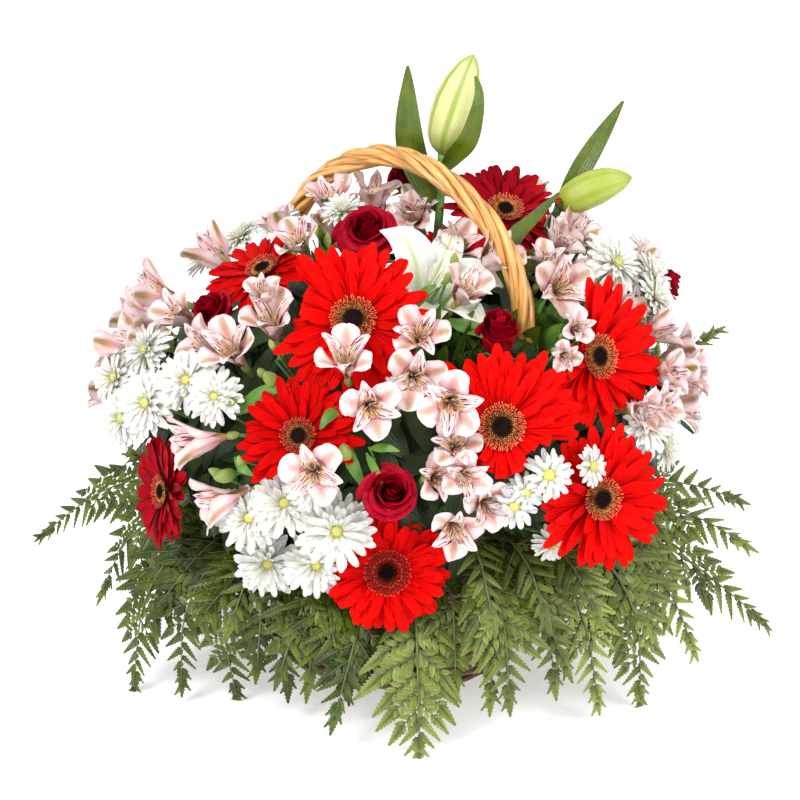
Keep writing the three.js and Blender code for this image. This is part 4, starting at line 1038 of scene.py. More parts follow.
# Chrysanthemum sprays, in the same form but with no leaves
MUM_SPRAYS = [
    ((-148, 34), [
        ((-160, 38, 2), (-135, 30), 23), ((-139, 37, 10), (-110, 32), 25),
        ((-130, 36, 13), (-105, 24), 22), ((-148, 31, 8), (-125, 18), 27),
        ((-158, 26, 2), (-130, 14), 25),
    ]),
    ((-113, 15), [
        ((-122, 17, 10), (-102, 24), 26), ((-114, 21, 6), (-95, 32), 26),
        ((-103, 17, 15), (-84, 16), 29), ((-123, 6, 17), (-98, 0), 27),
        ((-110, 8, 15), (-90, 2), 26),
    ]),
    ((-64, 24), [
        ((-62, 25, 24), (-75, 20), 19), ((-68, 21, 22), (-92, 10), 18),
        ((-53, 25, 22), (-40, 12), 16), ((-57, 12, 20), (-80, -6), 16),
    ]),
    ((-33, 26), [((-36, 28, 8), (-46, 26), 24), ((-29, 23, 4), (-20, 10), 20)]),
    ((1, 49), [
        ((-7, 52, 20), (-45, 42), 29), ((14, 55, 14), (-30, 55), 23), ((12, 46, 30), (10, 40), 21),
        ((-4, 46, 24), (-10, 30), 23), ((-6, 40, 2), (-10, 25), 21),
    ]),
    ((143, 56), [
        ((152, 56, 10), (-160, 55), 20), ((148, 63, 12), (-130, 64), 20),
        ((150, 47, 8), (150, 44), 24),
    ]),
    ((116, 30), [
        ((106, 36, 8), (100, 34), 26), ((124, 38, 8), (126, 36), 26), ((127, 25, 8), (130, 18), 26),
        ((108, 21, 8), (104, 12), 26),
    ]),
]


# A tepal's line, as radius and height in shares of the bloom's radius: wide open, and shut
OUTER_OPEN = [(0.06, -1.04), (0.14, -0.66), (0.40, -0.16), (0.76, 0.16), (1.00, 0.18)]
OUTER_SHUT = [(0.06, -1.04), (0.17, -0.62), (0.38, -0.12), (0.60, 0.36), (0.76, 0.74)]
INNER_OPEN = [(0.05, -1.00), (0.11, -0.62), (0.30, -0.04), (0.60, 0.28), (0.90, 0.34)]
INNER_SHUT = [(0.05, -1.00), (0.12, -0.60), (0.27, -0.06), (0.44, 0.42), (0.58, 0.76)]


def bloom_hub(at, faces):
    """An open alstroemeria stands a little forward of the gerberas beside it"""
    direction = heading(*faces)
    return on_dome(*at) + direction * 8 * np.clip(-direction[1], 0, 1)


def trumpet_openness(direction):
    """Blooms that face the front are wide open, and those at the sides are funnels"""
    return float(np.clip(0.34 - 0.72 * direction[1], 0.15, 1.0))


def trumpet(radius, openness, wide, shut):
    """A tepal's line in millimetres, between the open one and the shut one"""
    return radius * (np.array(wide) * openness + np.array(shut) * (1 - openness))


def alstroemeria_bloom(shape, place, radius, random):
    """A trumpet of three broad outer tepals and three narrow inner ones, all of those streaked"""
    hub, axes = place
    openness = float(np.clip(trumpet_openness(axes[2]) + random.normal(0, 0.06), 0.1, 1.0))
    outer = rz_line(trumpet(radius, openness, OUTER_OPEN, OUTER_SHUT))
    inner = rz_line(trumpet(radius, openness, INNER_OPEN, INNER_SHUT))
    tint = 0.55 * (1 - openness) + random.uniform(0, 0.25)
    angles = (np.arange(3) * 120 + 90) * DEG + random.normal(0, 0.08, 3)

    def broad(t):
        width = (0.33 + 0.10 * openness) * radius
        return width * swelling(t, 0.78, 0.16, 1.4) * blunt(t, 0.78, 0.225, 0) + 0.12

    def narrow(t):
        swell = np.sin(math.pi * np.clip(0.04 + 0.955 * t, 0, 1) ** 1.3) ** 0.72
        return 0.25 * radius * swell + 0.12

    petals(
        shape, place, TEPAL, angles, outer, broad, rows=12, columns=6, channel=0.34,
        ruffle=2.3, frill=0.10, roll=random.normal(0, 0.2, 3), tone=tint + random.uniform(0, 0.3, 3),
        sway=random.normal(0, 1.4, 3),
    )
    form = {"rows": 11, "channel": 0.25, "ruffle": 1.0, "frill": 0.07}
    upper = np.array([150, 30]) * DEG + random.normal(0, 0.06, 2)
    petals(
        shape, place, STREAKED, upper, inner, narrow, **form, roll=random.normal(0, 0.14, 2),
        tone=random.uniform(0, 0.6, 2), sway=random.normal(0, 1.0, 2),
    )
    petals(shape, place, STREAKED, [270 * DEG], inner, narrow, **form, tone=random.uniform(0, 0.6))
    rim = radius * (0.8 + 0.2 * openness)
    throat = [(1.5, -27), (3.2, -17), (0.24 * rim, -8), (0.36 * rim, -3)]
    turned(shape, place, THROAT, throat, 12, random.uniform(0, 0.6))
    ovary = [(1.5, -36), (3.0, -33), (3.2, -29), (1.9, -26), (0.1, -25)]
    turned(shape, place, BUD, ovary, 9, 0.6, 6, 0.08)
    for index in range(6):
        side = sideways(axes, index * TAU / 6 + random.normal(0, 0.2))
        reach = random.uniform(0.16, 0.30) * radius
        end = hub + side * reach - axes[1] * 1.5 + axes[2] * random.uniform(2, 8)
        path = spline([hub - axes[2] * 24, hub + side * 1.5 - axes[2] * 8, end], 6)
        tube(shape, path, 0.35, FILAMENT, 3)
        along = unit(axes[2] + random.normal(0, 0.5, 3)) * 1.3
        tube(shape, [end - along, end, end + along], [0.4, 0.75, 0.4], ANTHER, 5)


def spray_bud(shape, place, length, girth, random):
    """A closed bud, pointed, with three shallow lobes"""
    share = np.linspace(0, 1, 9)
    radius = girth * np.interp(share, (0, 0.12, 0.35, 0.65, 0.88, 1), (0.3, 0.62, 1.0, 0.92, 0.45, 0.03))
    profile = np.stack([radius, -0.5 * length + share * length], axis=1)
    turned(shape, place, BUD, profile, 12, random.uniform(0.2, 0.9), 3, 0.08)


# The rings of a chrysanthemum and of a daisy: petals, reach and width as shares of the
# radius, height, and the tip's lift
MUM_RINGS = [
    (17, 1.06, 0.215, 0.4, 0.5),
    (16, 0.98, 0.205, 1.4, 2.6),
    (15, 0.84, 0.190, 2.3, 5.0),
    (13, 0.68, 0.170, 3.0, 7.4),
    (11, 0.52, 0.145, 3.4, 8.6),
    (9, 0.36, 0.110, 3.6, 8.0),
]
DAISY_RINGS = [
    (14, 1.05, 0.23, 0.6, 0.4),
    (13, 0.96, 0.22, 1.4, 1.8),
    (11, 0.78, 0.19, 2.0, 3.4),
    (7, 0.52, 0.16, 2.6, 4.0),
]


def mum_bloom(shape, place, radius, daisy, random):
    """Rings of blunt white petals round a green and yellow button"""
    for ring, (number, reach, wide, base, lift) in enumerate(DAISY_RINGS if daisy else MUM_RINGS):
        angles = spaced(number, 0.41 * ring, 0.06, random)
        size = reach * radius * random.uniform(0.9, 1.03, number)[:, None]
        tip = lift + random.normal(0, 1.0, number)[:, None]
        start = 0.12 * radius

        def line(t):
            return start + (size - start) * t, base + tip * t**1.2 + 0.9 * np.sin(math.pi * t)

        def outline(t):
            return 0.5 * wide * radius * swelling(t, 0.6, 0.42) * blunt(t, 0.76, 0.25)

        petals(
            shape, place, MUM, angles, line, outline, rows=6, channel=0.38,
            roll=random.normal(0, 0.2, number), sway=random.normal(0, 0.5, number),
            tone=random.uniform(0, 1, number),
        )
    eye = (0.24 if daisy else 0.165) * radius
    turned(shape, place, MUM_DISC, [(0.1, 1.5), (eye, 2.2), *dome(eye, 3.2, 0.5 * eye, 5)], 12, 0.4)
    share, turn = packed(46)
    heights = 3.0 + 0.45 * eye * np.sqrt(np.clip(1 - share**2, 0, 1))
    size = np.full(len(share), 0.24 * eye)
    florets(shape, place, MUM_DISC, share * eye, heights, turn, size, 0.5 * share, 0.5)
    calyx = [(1.5, -7), (0.10 * radius, -5), (0.20 * radius, -1.0), (0.22 * radius, 0.9)]
    turned(shape, place, STEM, calyx, 10)


def bloom_on_stalk(shape, kind, row, spin, daisy_below, throat, foot, random):
    """A bloom and its stalk. Throat is how deep its stalk begins and how long its bend is."""
    at, faces, radius = row
    axes = facing(heading(*faces), spin)
    if kind == "mum":
        place = on_dome(*at), axes
        mum_bloom(shape, place, radius, radius < daisy_below, random)
        throat, radii = (5, 8), (1.8, 1.4)
    elif radius <= BUD_SIZE:
        place = on_dome(*at), axes
        spray_bud(shape, place, 29, 5.4, random)
        throat, radii = (12, 9), (2.2, 1.4)
    else:
        place = bloom_hub(at, faces), axes
        alstroemeria_bloom(shape, place, radius, random)
        radii = 1.6, 1.4
    foot = stem_foot(place[0], LOOSE_START) if foot is None else foot
    stalk(shape, place, *throat, radii, foot=foot)


def spray(kind, index, row, random):
    """A spray: the main stem to its fork, a pedicel to each bloom, and leaves"""
    main, blooms, *leaves = row
    ray = heading(*main)
    shape = Shape()
    tube(shape, [FOCUS + ray * STEM_START, FOCUS + ray * 75, FOCUS + ray * FORK], [3.0, 2.9, 2.4], STEM, 7)
    twist = 31 if kind == "mum" else 25
    for number, bloom in enumerate(blooms):
        foot = FOCUS + ray * (FORK - 3 - 6 * number)
        bloom_on_stalk(shape, kind, bloom, twist * number, 20, (34, 6), foot, random)
    for azimuth, elevation, length in leaves[0] if leaves else []:
        start = FOCUS + ray * (FORK - 3)
        end = FOCUS + heading(azimuth, elevation) * (FORK + length)
        leaf(
            shape, spline([start, 0.5 * (start + end) + UP * 5, end], 14), polar(1, azimuth + 90),
            lambda share: 0.6 + 6.4 * math.sin(math.pi * min(share * 1.02, 1)) ** 0.8,
            GREEN_LEAF, fold=0.25, wave=0.6, twist=random.uniform(-0.5, 0.5), tone=random.uniform(0, 0.8),
        )
    if kind == "mum":
        shape.piece(f"Chrysanthemum_{index}", "chrysanthemum_white", f"chrysanthemum_{index}")
    else:
        shape.piece(f"Alstroemeria_{index}", "alstroemeria_pink", f"alstroemeria_{index}")


# Ferns: each group shares a root in the foam. A frond has its azimuth, its rib's places as
# radius and height, its longest leaflet and the share of the rib that is bare.
PINNA_SPACING = 12.0
FERN_ROOT = (46, 104)
FERN_FAN = (101, 128)
FERN_GROUPS = [
    (-71, [
        (-86, [(138, 130), (157, 115), (184, 72), (211, 4)], 60, 0.34),
        (-68, [(138, 130), (172, 124), (206, 98), (217, 44)], 54, 0.2),
        (-55, [(138, 130), (172, 122), (193, 92), (204, 42)], 42, 0.2),
    ]),
    (-14, [
        (-33, [(138, 130), (180, 124), (216, 78), (224, 4)], 56, 0.2),
        (-18, [(138, 132), (190, 142), (240, 142), (282, 124)], 46, 0.2),
        (-5, [(138, 130), (190, 110), (246, 74), (298, 31)], 54, 0.2),
        (9, [(138, 132), (190, 134), (240, 128), (284, 112)], 42, 0.2),
    ]),
    (44, [
        (23, [(138, 140), (196, 184), (244, 218), (288, 238)], 42, 0.4),
        (45, [(138, 130), (192, 124), (240, 88), (270, 36)], 54, 0.2),
        (66, [(138, 131), (188, 132), (234, 108), (266, 60)], 50, 0.2),
    ]),
    (106, [
        (87, [(138, 130), (184, 124), (228, 88), (260, 34)], 54, 0.2),
        (107, [(138, 131), (184, 128), (228, 98), (256, 48)], 50, 0.2),
        (125, [(138, 130), (186, 124), (232, 84), (262, 26)], 54, 0.2),
    ]),
    (180, [
        (146, [(138, 130), (188, 124), (240, 84), (270, 30)], 54, 0.2),
        (167, [(138, 131), (192, 134), (252, 116), (312, 70)], 50, 0.2),
        (-173, [(138, 130), (184, 128), (220, 104), (243, 60)], 46, 0.2),
        (-156, [(138, 130), (182, 122), (218, 78), (231, 4)], 54, 0.2),
        (-139, [(138, 130), (160, 115), (180, 72), (170, 5)], 46, 0.34),
    ]),
    (-112, [
        (-120, [(138, 130), (152, 112), (170, 76), (172, 32)], 42, 0.34),
        (-104, [(138, 130), (150, 110), (160, 76), (162, 34)], 40, 0.34),
    ]),
]
# Fronds with more painted sheen than their place would give them, by azimuth: shade
SHEEN_FRONDS = {-86: 0.6}
# The rows of a pinnule: how far along it, half width, and how far the edge leans on
PINNULE = [(0.0, 0.14, 0.0), (0.20, 0.48, 0.03), (0.58, 0.42, 0.05), (1.0, 0.02, 0.0)]
# A pinna shorter than this is one toothed blade. A longer one has pinnules up to this share
UNDIVIDED, DIVIDED_SHARE = 27, 0.5
# The length of one tooth, and how far apart pinnules are
TOOTH, PINNULE_SPACING = 3.2, 5.6


def toothed(teeth):
    """The rows of a blade with so many teeth on each edge"""
    rows = [(0.0, 0.26, 0.0)]
    for tooth in range(teeth):
        for step, half, lean in ((0.14, 0.37, 0.0), (0.70, 0.50, 0.34)):
            along = (tooth + step) / (teeth + 0.6)
            half = half * (1 - along) ** 0.7 * min(1, 0.6 + 4 * along)
            rows.append((along, half, lean / (teeth + 0.6)))
    return rows + [(1.0, 0.01, 0.0)]


class Blades:
    """The leaf blades of a frond, gathered by their number of teeth: none for a pinnule"""

    def __init__(self):
        self.rows = {}

    def add(self, teeth, foot, head, up, length, width, tone):
        head = unit(head)
        up = unit(up - head * (up @ head))
        self.rows.setdefault(teeth, []).append((*foot, *head, *up, length, width, tone))

    def finish(self, shape):
        column = np.array([-1.0, 0.0, 1.0])
        for teeth, rows in sorted(self.rows.items()):
            table = np.array(rows)[:, None, None]
            foot, head, up = (table[..., k:k + 3] for k in (0, 3, 6))
            length, width, tone = (table[..., k] for k in (9, 10, 11))
            stations, halves, lean = np.array(toothed(teeth) if teeth else PINNULE).T[:, :, None]
            along = (stations + lean * np.abs(column)) * length
            across = halves * column * width
            fall = 0.42 * np.abs(across) + 0.11 * stations**2 * length
            points = foot + head * along[..., None] + np.cross(up, head) * across[..., None]
            points = points - up * fall[..., None]
            shape.grids(keep_above_table(points), FERN, np.clip(tone, 0, 1))


def pinna(blades, shape, foot, head, forward, up, long, tone, random):
    """One side branch of a frond: pinnules in pairs, then a toothed blade up to its tip"""
    tone = tone + random.normal(0, 0.10)
    if long < UNDIVIDED:
        blades.add(max(4, round(long / TOOTH)), foot, head, up, long, 0.29 * long + 2.2, tone)
        return
    bend = forward * 0.15 * long - up * 0.08 * long
    axis = spline([foot, foot + head * 0.5 * long + bend * 0.2, foot + head * long + bend], 16)
    tube(shape, axis[:13:3], np.linspace(0.75, 0.3, 5), RACHIS, 3)
    plane = np.cross(up, head)
    broad = 0.18 * long + 2.8
    pairs = round(DIVIDED_SHARE * long / PINNULE_SPACING)
    for pair in range(pairs):
        for edge in (-1, 1):
            share = DIVIDED_SHARE * (pair + 0.35 + 0.3 * (edge > 0)) / pairs
            place, step = between_points(axis, share * 15)
            lean = 0.72 + 0.25 * share + random.normal(0, 0.05)
            spread = edge * plane * math.cos(lean) + unit(step) * math.sin(lean)
            tilt = up + edge * plane * random.normal(0.14, 0.2) + head * random.normal(0, 0.14)
            size = 1.42 * broad * (1 - share) ** 0.8 * random.uniform(0.93, 1.07)
            blades.add(0, place, spread, tilt, size, 0.46 * size, tone + random.normal(0, 0.13))
    start = axis[round(15 * DIVIDED_SHARE) - 1]
    rest = np.linalg.norm(axis[-1] - start)
    blades.add(round(rest / TOOTH), start, axis[-1] - start, up, rest, 1.3 * broad, tone)


def between_points(path, spot):
    """The place at a spot between a path's points, and the step from the one to the other"""
    low = min(int(spot), len(path) - 2)
    step = path[low + 1] - path[low]
    return path[low] + step * (spot - low), step


def frond(shape, rib, reach, bare, random, tone):
    """A fern frond along a rib. Reach is its longest pinna, and bare the share of its rib
    without any. At the sides of the basket its face is turned towards the front."""
    count = 60
    ribs = spline(rib, count)
    forward = tangents(ribs)
    out = unit(ribs[-1] * (1, 1, 0))
    across = np.cross(out, UP)
    side = each_unit(across - forward * (forward @ across)[:, None])
    normal = np.cross(side, forward)
    turn = (0.75 * out[0] if out[1] < 0.5 else 0) + random.normal(0, 0.12)
    side, normal = (
        side * math.cos(turn) - normal * math.sin(turn),
        normal * math.cos(turn) + side * math.sin(turn),
    )
    tube(shape, ribs[::3], np.linspace(1.4, 0.45, count // 3), RACHIS, 5)
    blades = Blades()
    pairs = max(6, round(travelled(ribs)[-1] * (1 - bare) / PINNA_SPACING))
    for step in range(pairs):
        share = 1 - (1 - (step + 0.3) / pairs) ** 1.2
        for hand in (-1, 1):
            spot = (bare + (1 - bare) * (share + 0.4 * (hand > 0) / pairs)) * (count - 1)
            low = min(int(spot), count - 2)
            foot, _ = between_points(ribs, spot)
            long = reach * (1 - share) ** 0.68 * min(1, 0.75 + 1.6 * share) * random.uniform(0.90, 1.06)
            angle = 0.50 + 0.42 * share + random.normal(0, 0.06)
            head = hand * side[low] * math.cos(angle) + forward[low] * math.sin(angle)
            head = unit(head - normal[low] * random.normal(0.10, 0.07))
            up = normal[low] + hand * random.normal(0.08, 0.12) * side[low]
            up = unit(up - head * (up @ head))
            pinna(blades, shape, foot, head, forward[low], up, max(long, 12), tone, random)
    blades.add(9, ribs[-6], forward[-1], normal[-1], 26.0, 13.0, tone)
    blades.finish(shape)


def fern_tone_and_sheen(azimuth, random):
    """The shade of a frond: a random tone, with painted sheen that makes it paler towards the right of the
    front, so it is dark at the left
    """
    return random.uniform(0.0, 0.2) + 0.4 * max(0, math.cos((azimuth + 15) * DEG))


def fern_group(index, row):
    root, fronds = row
    random = np.random.default_rng(500 + index)
    shape = Shape()
    start, fan = (polar(out, root, up) for out, up in (FERN_ROOT, FERN_FAN))
    tube(shape, [start, 0.5 * (start + fan), fan], 2.2, RACHIS)
    for azimuth, rib, reach, bare in fronds:
        places = [polar(out, azimuth, up) for out, up in rib]
        tube(shape, spline([fan, 0.5 * (fan + places[0]) + UP, places[0]], 6), 1.5, RACHIS, 5)
        # painted sheen: listed fronds get their own, the rest the sheen and tone of their place
        tone = SHEEN_FRONDS.get(azimuth) or fern_tone_and_sheen(azimuth, random)
        frond(shape, places, reach, bare, random, tone)
    shape.piece(f"Fern_{index}", "fern_green", f"fern_{index}")


# The basket
STAKES = 24
STAKE_RADIUS = 2.2
WEAVERS = 19
WEAVER_RADIUS = 2.5
ROPE_RODS = 5
ROPE_OFFSET = 5.6
ROPE_ROD = 3.45
ROPE_LAY = 176


def wall_radius(z):
    return BASE_RADIUS + (WALL_TOP_RADIUS - BASE_RADIUS) * z / WALL_HEIGHT


def basket_bowl():
    """Stakes with weavers passing over and under them, a lining skin behind, and a woven base"""
    random = np.random.default_rng(600)
    shape = Shape()
    skin = [(0.1, 1.2), (86, 1.2), (88, 3), (WALL_TOP_RADIUS - 5, WALL_HEIGHT),
            (WALL_TOP_RADIUS - 6.5, WALL_HEIGHT), (85, 6), (0.1, 6)]
    turned(shape, (np.zeros(3), np.eye(3)), WALL, skin, 96, 0.2)
    for stake in range(STAKES):
        azimuth = 360 * stake / STAKES
        path = [polar(wall_radius(z) - 2.4, azimuth, z) for z in np.linspace(2.5, WALL_HEIGHT, 8)]
        tube(shape, path, STAKE_RADIUS, WALL, 6, random.uniform(0, 1))
    turn = np.linspace(0, TAU, STAKES * 5, endpoint=False)
    angle = np.linspace(0, TAU, 7, endpoint=False)
    section_out, section_up = np.cos(angle) * WEAVER_RADIUS * 0.92, np.sin(angle) * WEAVER_RADIUS * 1.08
    for row in range(WEAVERS):
        z = 3.2 + (WALL_HEIGHT - 5.5) * row / (WEAVERS - 1)
        over = 1.6 * np.cos(turn * STAKES / 2 + math.pi * (row % 2))
        radius = wall_radius(z) - 1.9 + over
        level = z + 0.35 * np.sin(turn * 3 + row) + random.normal(0, 0.15, len(turn))
        up = np.maximum(level[:, None] + section_up, 0.3)
        points = around(radius[:, None] + section_out, turn[:, None], up)
        points = np.concatenate([points, points[:1]])
        shape.grid(points, WALL, random.uniform(0, 1), closed=True)
    for ring in range(9):
        points = [polar(8 + 9 * ring, azimuth, 2.2 + 0.5 * math.cos(azimuth * DEG * 8 + math.pi * ring))
                  for azimuth in range(0, 361, 9)]
        tube(shape, points, 2.0, WALL, 5, random.uniform(0, 1))
    shape.piece("Basket_bowl", "willow_wall", "basket_bowl")


def basket_rim():
    """The rolled border: four rods laid round each other"""
    random = np.random.default_rng(610)
    shape = Shape()
    turn = np.linspace(0, TAU, 217)
    for rod in range(4):
        phase = turn * 9 + rod * TAU / 4
        path = around(RIM_RING + 3.0 * np.cos(phase), turn, RIM_HEIGHT + 3.0 * np.sin(phase))
        tube(shape, path, 3.4, RIM, 8, random.uniform(0, 1))
    shape.piece("Basket_rim", "willow_rim", "basket_rim")


def basket_handle():
    """The bow: five peeled rods laid together in a long twist, and round a core"""
    random = np.random.default_rng(620)
    shape = Shape()
    half = [polar(out, HANDLE_TURN, z) for out, z in HANDLE_HALF]
    mirrored = [polar(-out, HANDLE_TURN, z) for out, z in reversed(HANDLE_HALF)]
    bow = spline([*half, UP * HANDLE_CROWN, *mirrored], 260)
    across = polar(1, HANDLE_TURN + 90)
    other = np.cross(tangents(bow), across)
    length = travelled(bow)
    tube(shape, bow[::4], 3.0, HANDLE, 6, 0.9)
    for rod in range(ROPE_RODS):
        phase = TAU * (length / ROPE_LAY + rod / ROPE_RODS)[:, None]
        reach = (ROPE_OFFSET + 0.35 * np.sin(length / 41 + 2.1 * rod))[:, None]
        path = bow + reach * (np.cos(phase) * across + np.sin(phase) * other)
        girth = ROPE_ROD * (1 + 0.05 * np.sin(length / 63 + rod))
        tube(shape, path, girth, HANDLE, 10, random.uniform(0, 0.6))
    shape.piece("Basket_handle", "willow_handle", "basket_handle")


def repaint(node, paint):
    """Give a frame solid its finish"""
    for slot in bpy.data.objects[node].material_slots:
        slot.material = paint


# Greens that fill the dome between the blooms: broad leaves and fern tips
FILLER_LEAVES = 380
CORE_LEAVES = 660
FILLER_TIPS = 22
SKIRT_FRONDS = 36
# Successive leaves and tips are this many degrees apart round the dome, and this share of
# the elevations
TURN_STEP = 137.5
RISE_STEP = 0.618
# Fronds that rise between the lowest blooms at the front: azimuth, rib as radius and height,
# longest leaflet and shade, where a high shade is painted sheen
FRONT_FRONDS = [
    (-72, [(104, 138), (150, 156), (190, 148), (220, 112)], 40, 0.35),
    (-60, [(104, 136), (150, 150), (190, 138), (216, 104)], 44, 0.2),
    (-48, [(104, 134), (152, 146), (192, 130), (222, 96)], 44, 0.3),
    (-128, [(104, 134), (150, 140), (184, 122), (208, 88)], 42, 0.2),
    (-146, [(112, 132), (166, 120), (200, 76), (206, 16)], 52, 0.1),
    (-112, [(112, 126), (146, 112), (168, 84), (186, 44)], 44, 0.25),
    (-44, [(112, 132), (164, 120), (196, 78), (212, 16)], 54, 0.85),
    (-22, [(112, 132), (182, 122), (226, 84), (250, 36)], 50, 0.75),
]
# Single blooms that close the gaps in the sprays: place, facing, radius
EXTRA_ALSTROS = [
    ((-78, 27, 16), (-76, 12), 20), ((60, 84, 16), (-90, 62), 20), ((-48, 75, 8), (-60, 44), 22),
    ((-33, 30, 16), (-30, 14), 22), ((2, 48, 26), (-20, 40), 20), ((-129, 54, 26), (-120, 62), 17),
    ((-142, 44, 6), (-150, 30), 22), ((-165, 38, 8), (-160, 20), 23), ((-9, 34, 8), (-4, 26), 23),
    ((-14, 31, 10), (-8, 8), 24), ((-20, 27, 8), (-12, -4), 22), ((-38, 31, 12), (-44, 4), 20),
    ((115, 80, 10), (-110, 45), 19), ((75, 72, 14), (-90, 40), 19), ((123, 71, 6), (-130, 52), 21),
    ((63, 84, 8), (-110, 40), 20), ((133, 68, 2), (170, 50), 21), ((-45, 47, 18), (-70, 30), 15),
    ((-53, 43, 22), (-80, 10), 13), ((5, 61, 10), (-25, 50), 24), ((-12, 62, 0), (-60, 60), 20),
]
EXTRA_MUMS = [
    ((-90, 41, 12), (-88, 26), 14), ((-176, 80, 20), (-110, 66), 18),
    ((-164, 31, 6), (-134, 20), 23), ((-108, 25, 6), (-96, 30), 20), ((-66, 23, 22), (-88, 10), 15),
    ((-10, 44, 18), (-20, 30), 22),
]
# Small leaves among the front blooms: from, to, half width, shade
FRONT_LEAVES = [
    ((-102, 33, 6), (-97, 25, 6), 4.5, 0.9), ((-126, 36, 4), (-115, 41, 10), 6.0, 0.6),
    ((-124, 27, 10), (-119, 25, 15), 3.6, 0.9), ((-85, 60, 8), (-77, 62, 15), 4.0, 1.0),
    ((-71, 57, 0), (-64, 48, 9), 7.5, 0.1), ((-103, 39, 8), (-106, 34, 15), 4.2, 0.5),
    ((-18, 26, 4), (-6, 21, 10), 6.0, 0.7), ((-96, 30, 14), (-93, 25, 25), 2.6, 1.0),
    ((-95, 32, 14), (-90, 31, 20), 2.8, 1.0), ((-122, 47, 4), (-117, 50, 10), 4.0, 0.8),
]
# Green buds there: place and length
FRONT_BUDS = [
    ((-63, 69, 12), 15), ((-70, 65, 10), 13), ((-83, 44, 16), 12), ((-176, 75, 8), 15),
    ((-151, 75, 8), 13), ((-122, 42, 10), 14), ((-126, 36, 12), 13), ((-127, 24, 14), 16),
    ((-122, 47, 12), 12), ((-122, 27, 12), 15),
]


def cups_near(hub, distance):
    """The cups of the other blooms whose hubs are near a place, which its petals keep out of"""
    cups = []
    for at, faces, radius in [*MUM_SPRAYS[2][1], *EXTRA_MUMS]:
        profile = np.array([-4.0, 0.0, 6.0]), np.array([0.3, 0.9, 1.0]) * radius
        cups.append((on_dome(*at), heading(*faces), *profile))
    for at, faces, radius, _ in ROSES:
        profile = np.array([[-0.62, -0.4, 0.0, 0.5, 0.9], [0.15, 0.55, 0.80, 0.86, 0.87]]) * radius
        cups.append((on_dome(*at), heading(*faces), *profile))
    for at, faces, radius in [*(bloom for spray in ALSTRO_SPRAYS for bloom in spray[1]), *EXTRA_ALSTROS]:
        if radius > BUD_SIZE:
            axis = heading(*faces)
            radii, levels = trumpet(radius, trumpet_openness(axis), OUTER_OPEN, OUTER_SHUT).T
            cups.append((bloom_hub(at, faces), axis, levels, radii))
    return [cup for cup in cups if np.linalg.norm(cup[0] - hub) < distance]


def extra_blooms(name, slot, rows, kind, seed):
    random = np.random.default_rng(seed)
    shape = Shape()
    for index, row in enumerate(rows):
        bloom_on_stalk(shape, kind, row, 41 * index, 17, (1.36 * row[2], 8), None, random)
    shape.piece(name, slot)


def front_sprigs():
    """Small leaves and green buds that show between the blooms at the front"""
    random = np.random.default_rng(740)
    shape = Shape()
    for start, end, half, tone in FRONT_LEAVES:
        start, end = on_dome(*start), on_dome(*end)
        ray = unit(start - FOCUS)
        path = spline([start - 0.25 * (end - start) - ray * 8, 0.5 * (start + end) + ray * 3, end], 14)
        leaf(shape, path, np.cross(ray, end - start), blade(0.4, half), GREEN_LEAF, fold=0.25,
             wave=0.6, twist=random.normal(0, 0.4), tone=tone)
        tube(shape, [path[0], 0.5 * (path[0] + FOCUS), FOCUS + ray * 50], 1.0, STEM, 5)
    for at, length in FRONT_BUDS:
        hub = on_dome(*at)
        place = hub, facing(unit(unit(hub - FOCUS) + random.normal(0, 0.3, 3)))
        spray_bud(shape, place, length, 0.24 * length, random)
        stalk(shape, place, 0.45 * length, 8, (1.3, 1.0), foot=stem_foot(hub, LOOSE_START))
    shape.piece("Front_sprigs", "lily_leaf_green")


def dome_ray(azimuth, elevation):
    """A ray from the focus, and how far along it the dome is"""
    return heading(azimuth, elevation), np.linalg.norm(on_dome(azimuth, elevation, 0) - FOCUS)


def filler_leaves():
    random = np.random.default_rng(700)
    shape = Shape()
    for index in range(FILLER_LEAVES):
        azimuth = (index * TURN_STEP) % 360 - 180
        elevation = 6 + 72 * ((index * RISE_STEP) % 1) + random.normal(0, 3)
        ray, reach = dome_ray(azimuth, elevation)
        start = FOCUS + ray * (reach - random.uniform(75, 100))
        wander = unit(np.cross(ray, UP)) * random.normal(0, 20) + UP * random.normal(2, 14)
        end = FOCUS + ray * (reach - random.uniform(-4, 36)) + wander
        middle = 0.5 * (start + end) + UP * random.uniform(2, 8)
        half = random.uniform(6, 11)
        across = unit(np.cross(ray, unit(random.normal(0, 1, 3))))
        leaf(shape, spline([start, middle, end], 12), across, blade(0.5, half),
             GREEN_LEAF if index % 3 else LEAF, fold=0.22, wave=0.7,
             twist=random.normal(0, 0.5), tone=random.uniform(0, 0.7))
    shape.piece("Filler_leaves", "lily_leaf_green")


def core_leaves():
    """Broad leaves laid over one another inside the dome, so nothing is seen through it. Their near black
    green is painted shade.
    """
    random = np.random.default_rng(705)
    shape = Shape()
    for index in range(CORE_LEAVES):
        azimuth = (index * TURN_STEP) % 360 - 180
        elevation = math.degrees(math.asin(0.02 + 0.93 * (index + 0.5) / CORE_LEAVES))
        middle = on_dome(azimuth, elevation, -random.uniform(20, 50))
        ray = heading(azimuth, elevation)
        along = unit(np.cross(ray, random.normal(0, 1, 3)))
        ends = [middle - along * 34 - ray * 6, middle, middle + along * 34 + ray * random.uniform(-8, 12)]
        half = random.uniform(7, 12)
        leaf(shape, spline(ends, 10), np.cross(ray, along), blade(0.5, half, 0.85), SHADE_CORE_LEAF,
             fold=0.15, wave=1.0, twist=random.normal(0, 0.3), tone=random.uniform(0, 0.5))
    shape.piece("Core_leaves", "lily_leaf_green")


